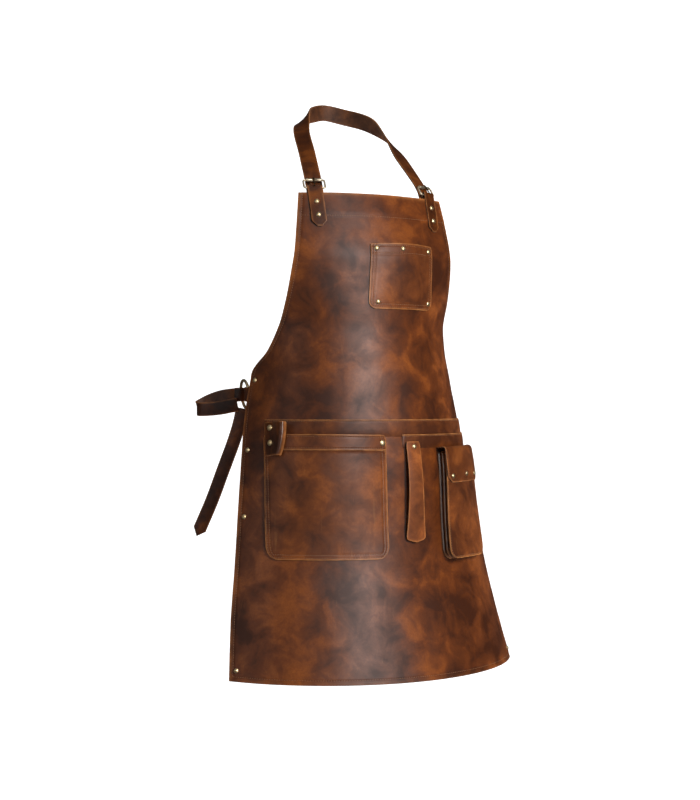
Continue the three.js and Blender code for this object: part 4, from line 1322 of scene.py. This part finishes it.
def sideStrapTail():
    axes = strapAxes()
    c = strapFold(axes)["front"] + sideStrap["thickness"] + sheet["clearance"]
    route = []
    for fall, out in tailRoute:
        a = out * sideStrap["sweep"] - sideStrap["tuck"]
        route.append((atStrap(axes, a, c, -sideStrap["width"] - fall * sideStrap["tail"]), axes["away"]))
    strapPiece("sideStrapTail", route, sideStrap["width"], sideStrap["thickness"], 60, "side_strap_tail",
               tip=sideStrap["tip"], flip=True)


for side, word in ((-1, "left"), (1, "right")):
    ringPiece(side, word)
    ringTab(side, word)
sideStrapLoop()
sideStrapTail()
print("rings and side strap made")

# rivets and studs
rivet = {
    "radius": 4.4, "large": 5.3, "height": 2.6, "edge": 14,
    "tabDrops": (17, 41), "sideDrops": (329, 452, 567, 824),
}
rivetTable = [
    ("rivet_chest_top_left", "chest", -23, 99), ("rivet_chest_top_middle", "chest", 25, 100),
    ("rivet_chest_top_right", "chest", 86, 101), ("rivet_chest_low_left", "chest", -20, 192),
    ("rivet_chest_low_right", "chest", 93, 192), ("rivet_main_right", "main", -28, 439),
    ("rivet_loop_top", "loop", -223, 414), ("rivet_loop_low", "loop", -223, 440),
    ("rivet_hammer", "hammer", 32, 446), ("rivet_flap_left", "flap", 109, 500),
    ("rivet_flap_middle", "flap", 157, 498), ("rivet_flap_right", "flap", 205, 500),
]
for word, side in (("left", -1), ("right", 1)):
    for i, drop in enumerate(rivet["tabDrops"]):
        rivetTable.append((f"rivet_tab_{word}_{i + 1}", "tab", side * tab["across"] + tab["shift"], drop))
    for i, drop in enumerate(rivet["sideDrops"]):
        across = side * (halfWidth(drop) - rivet["edge"])
        rivetTable.append((f"rivet_side_{word}_{i + 1}", "sheet", across, drop))


def chestHeight(across, drop):
    hemEnd = chestPocket["drop"] + chestPocket["hem"]
    return faceHeight(chestPocket, across, drop) + (0.6 if drop < hemEnd else 0)


# height of the face under a rivet
faces = {
    "sheet": lambda a, d: 0.0,
    "chest": chestHeight,
    "main": lambda a, d: faceHeight(mainPocket, a, d) + mainPocket["hemRise"],
    "loop": lambda a, d: faceHeight(mainPocket, a, d) + sheet["lay"] + panel + 0.3,
    "hammer": lambda a, d: hammerLift((d - hammer["drop"]) / hammer["height"]) + panel + 0.5,
    "flap": lambda a, d: cargoFace(a) + sheet["lay"] + panel + 0.4,
    "tab": lambda a, d: foldRadius + tab["thickness"] - sheet["leather"] / 2,
}
domeShape = [  # radius and height as shares, from the seam up to the crown
    (1, 0.0), (0.99, 0.2), (0.93, 0.36), (0.86, 0.42), (0.8, 0.52), (0.66, 0.74), (0.45, 0.92), (0.2, 1),
    (0, 1.01),
]


def rivetPiece(name, face, across, drop):
    def at(a, d):
        return onSheet(a, d, faces[face](a, d))

    down = at(across, drop + 2) - at(across, drop - 2)
    out = down.cross(at(across + 2, drop) - at(across - 2, drop)).normalized()
    r = rivet["large"] if face in ("main", "loop") else rivet["radius"]
    dome = [(0, -0.6), (r * 0.98, -0.6)] + [(r * wide, rivet["height"] * high) for wide, high in domeShape]
    mesh = turnedMesh(dome, at(across, drop) + out * 0.1, out)
    finishPiece(name + "_cap", mesh, [agedBrass], [name])


for row in rivetTable:
    rivetPiece(*row)
print("rivets made")


# lines of stitches
def sheetSeams():
    lines = []
    for side in (-1, 1):
        pairs = []
        drop = 3.0
        while drop < sheet["length"] - 6:
            pairs.append((side * (halfWidth(drop) - apron["seamIn"]), drop))
            drop += 4.0
        lines.append(surfaceLine(pairs, lambda a, d: bandStep(d) - apron["groove"]))
    for drop in (sheet["band"], sheet["length"] - apron["hemSeam"]):
        half = halfWidth(drop) - apron["seamIn"]
        pairs = denseLine([(-half, drop), (half, drop)])
        lines.append(surfaceLine(pairs, lambda a, d: bandStep(d) - apron["groove"] * 0.5))
    return lines


def cargoSeam():
    return surfaceLine(sideSeam(cargo, cargo["seamIn"], 2, 59), lambda a, d: cargoFace(a) - 0.2)


# along both sides of the flap, and across just above its free edge
def flapSeam():
    first, last, edge = flap["bend"] + 2, flap["rows"] - 2, 0.938
    rows = list(range(first, last + 1))
    places = [(-edge, row) for row in rows] + [(edge, row) for row in reversed(rows)]
    pairs = []
    for side, row in places:
        across, drop, out = flapPlace(side, row)
        pairs.append((onSheet(across, drop - (2.5 if row > last - 2 else 0), out), sheetNormal(across, drop)))
    return pairs


stitchPiece("sheetStitching", sheetSeams())
stitchPiece("bandStitching", [bandSeam, railSeam])
stitchPiece("chestStitching", pocketSeams(chestPocket))
stitchPiece("mainStitching", pocketSeams(mainPocket))
stitchPiece("cargoStitching", [cargoSeam(), flapSeam()])
print("stitching made")
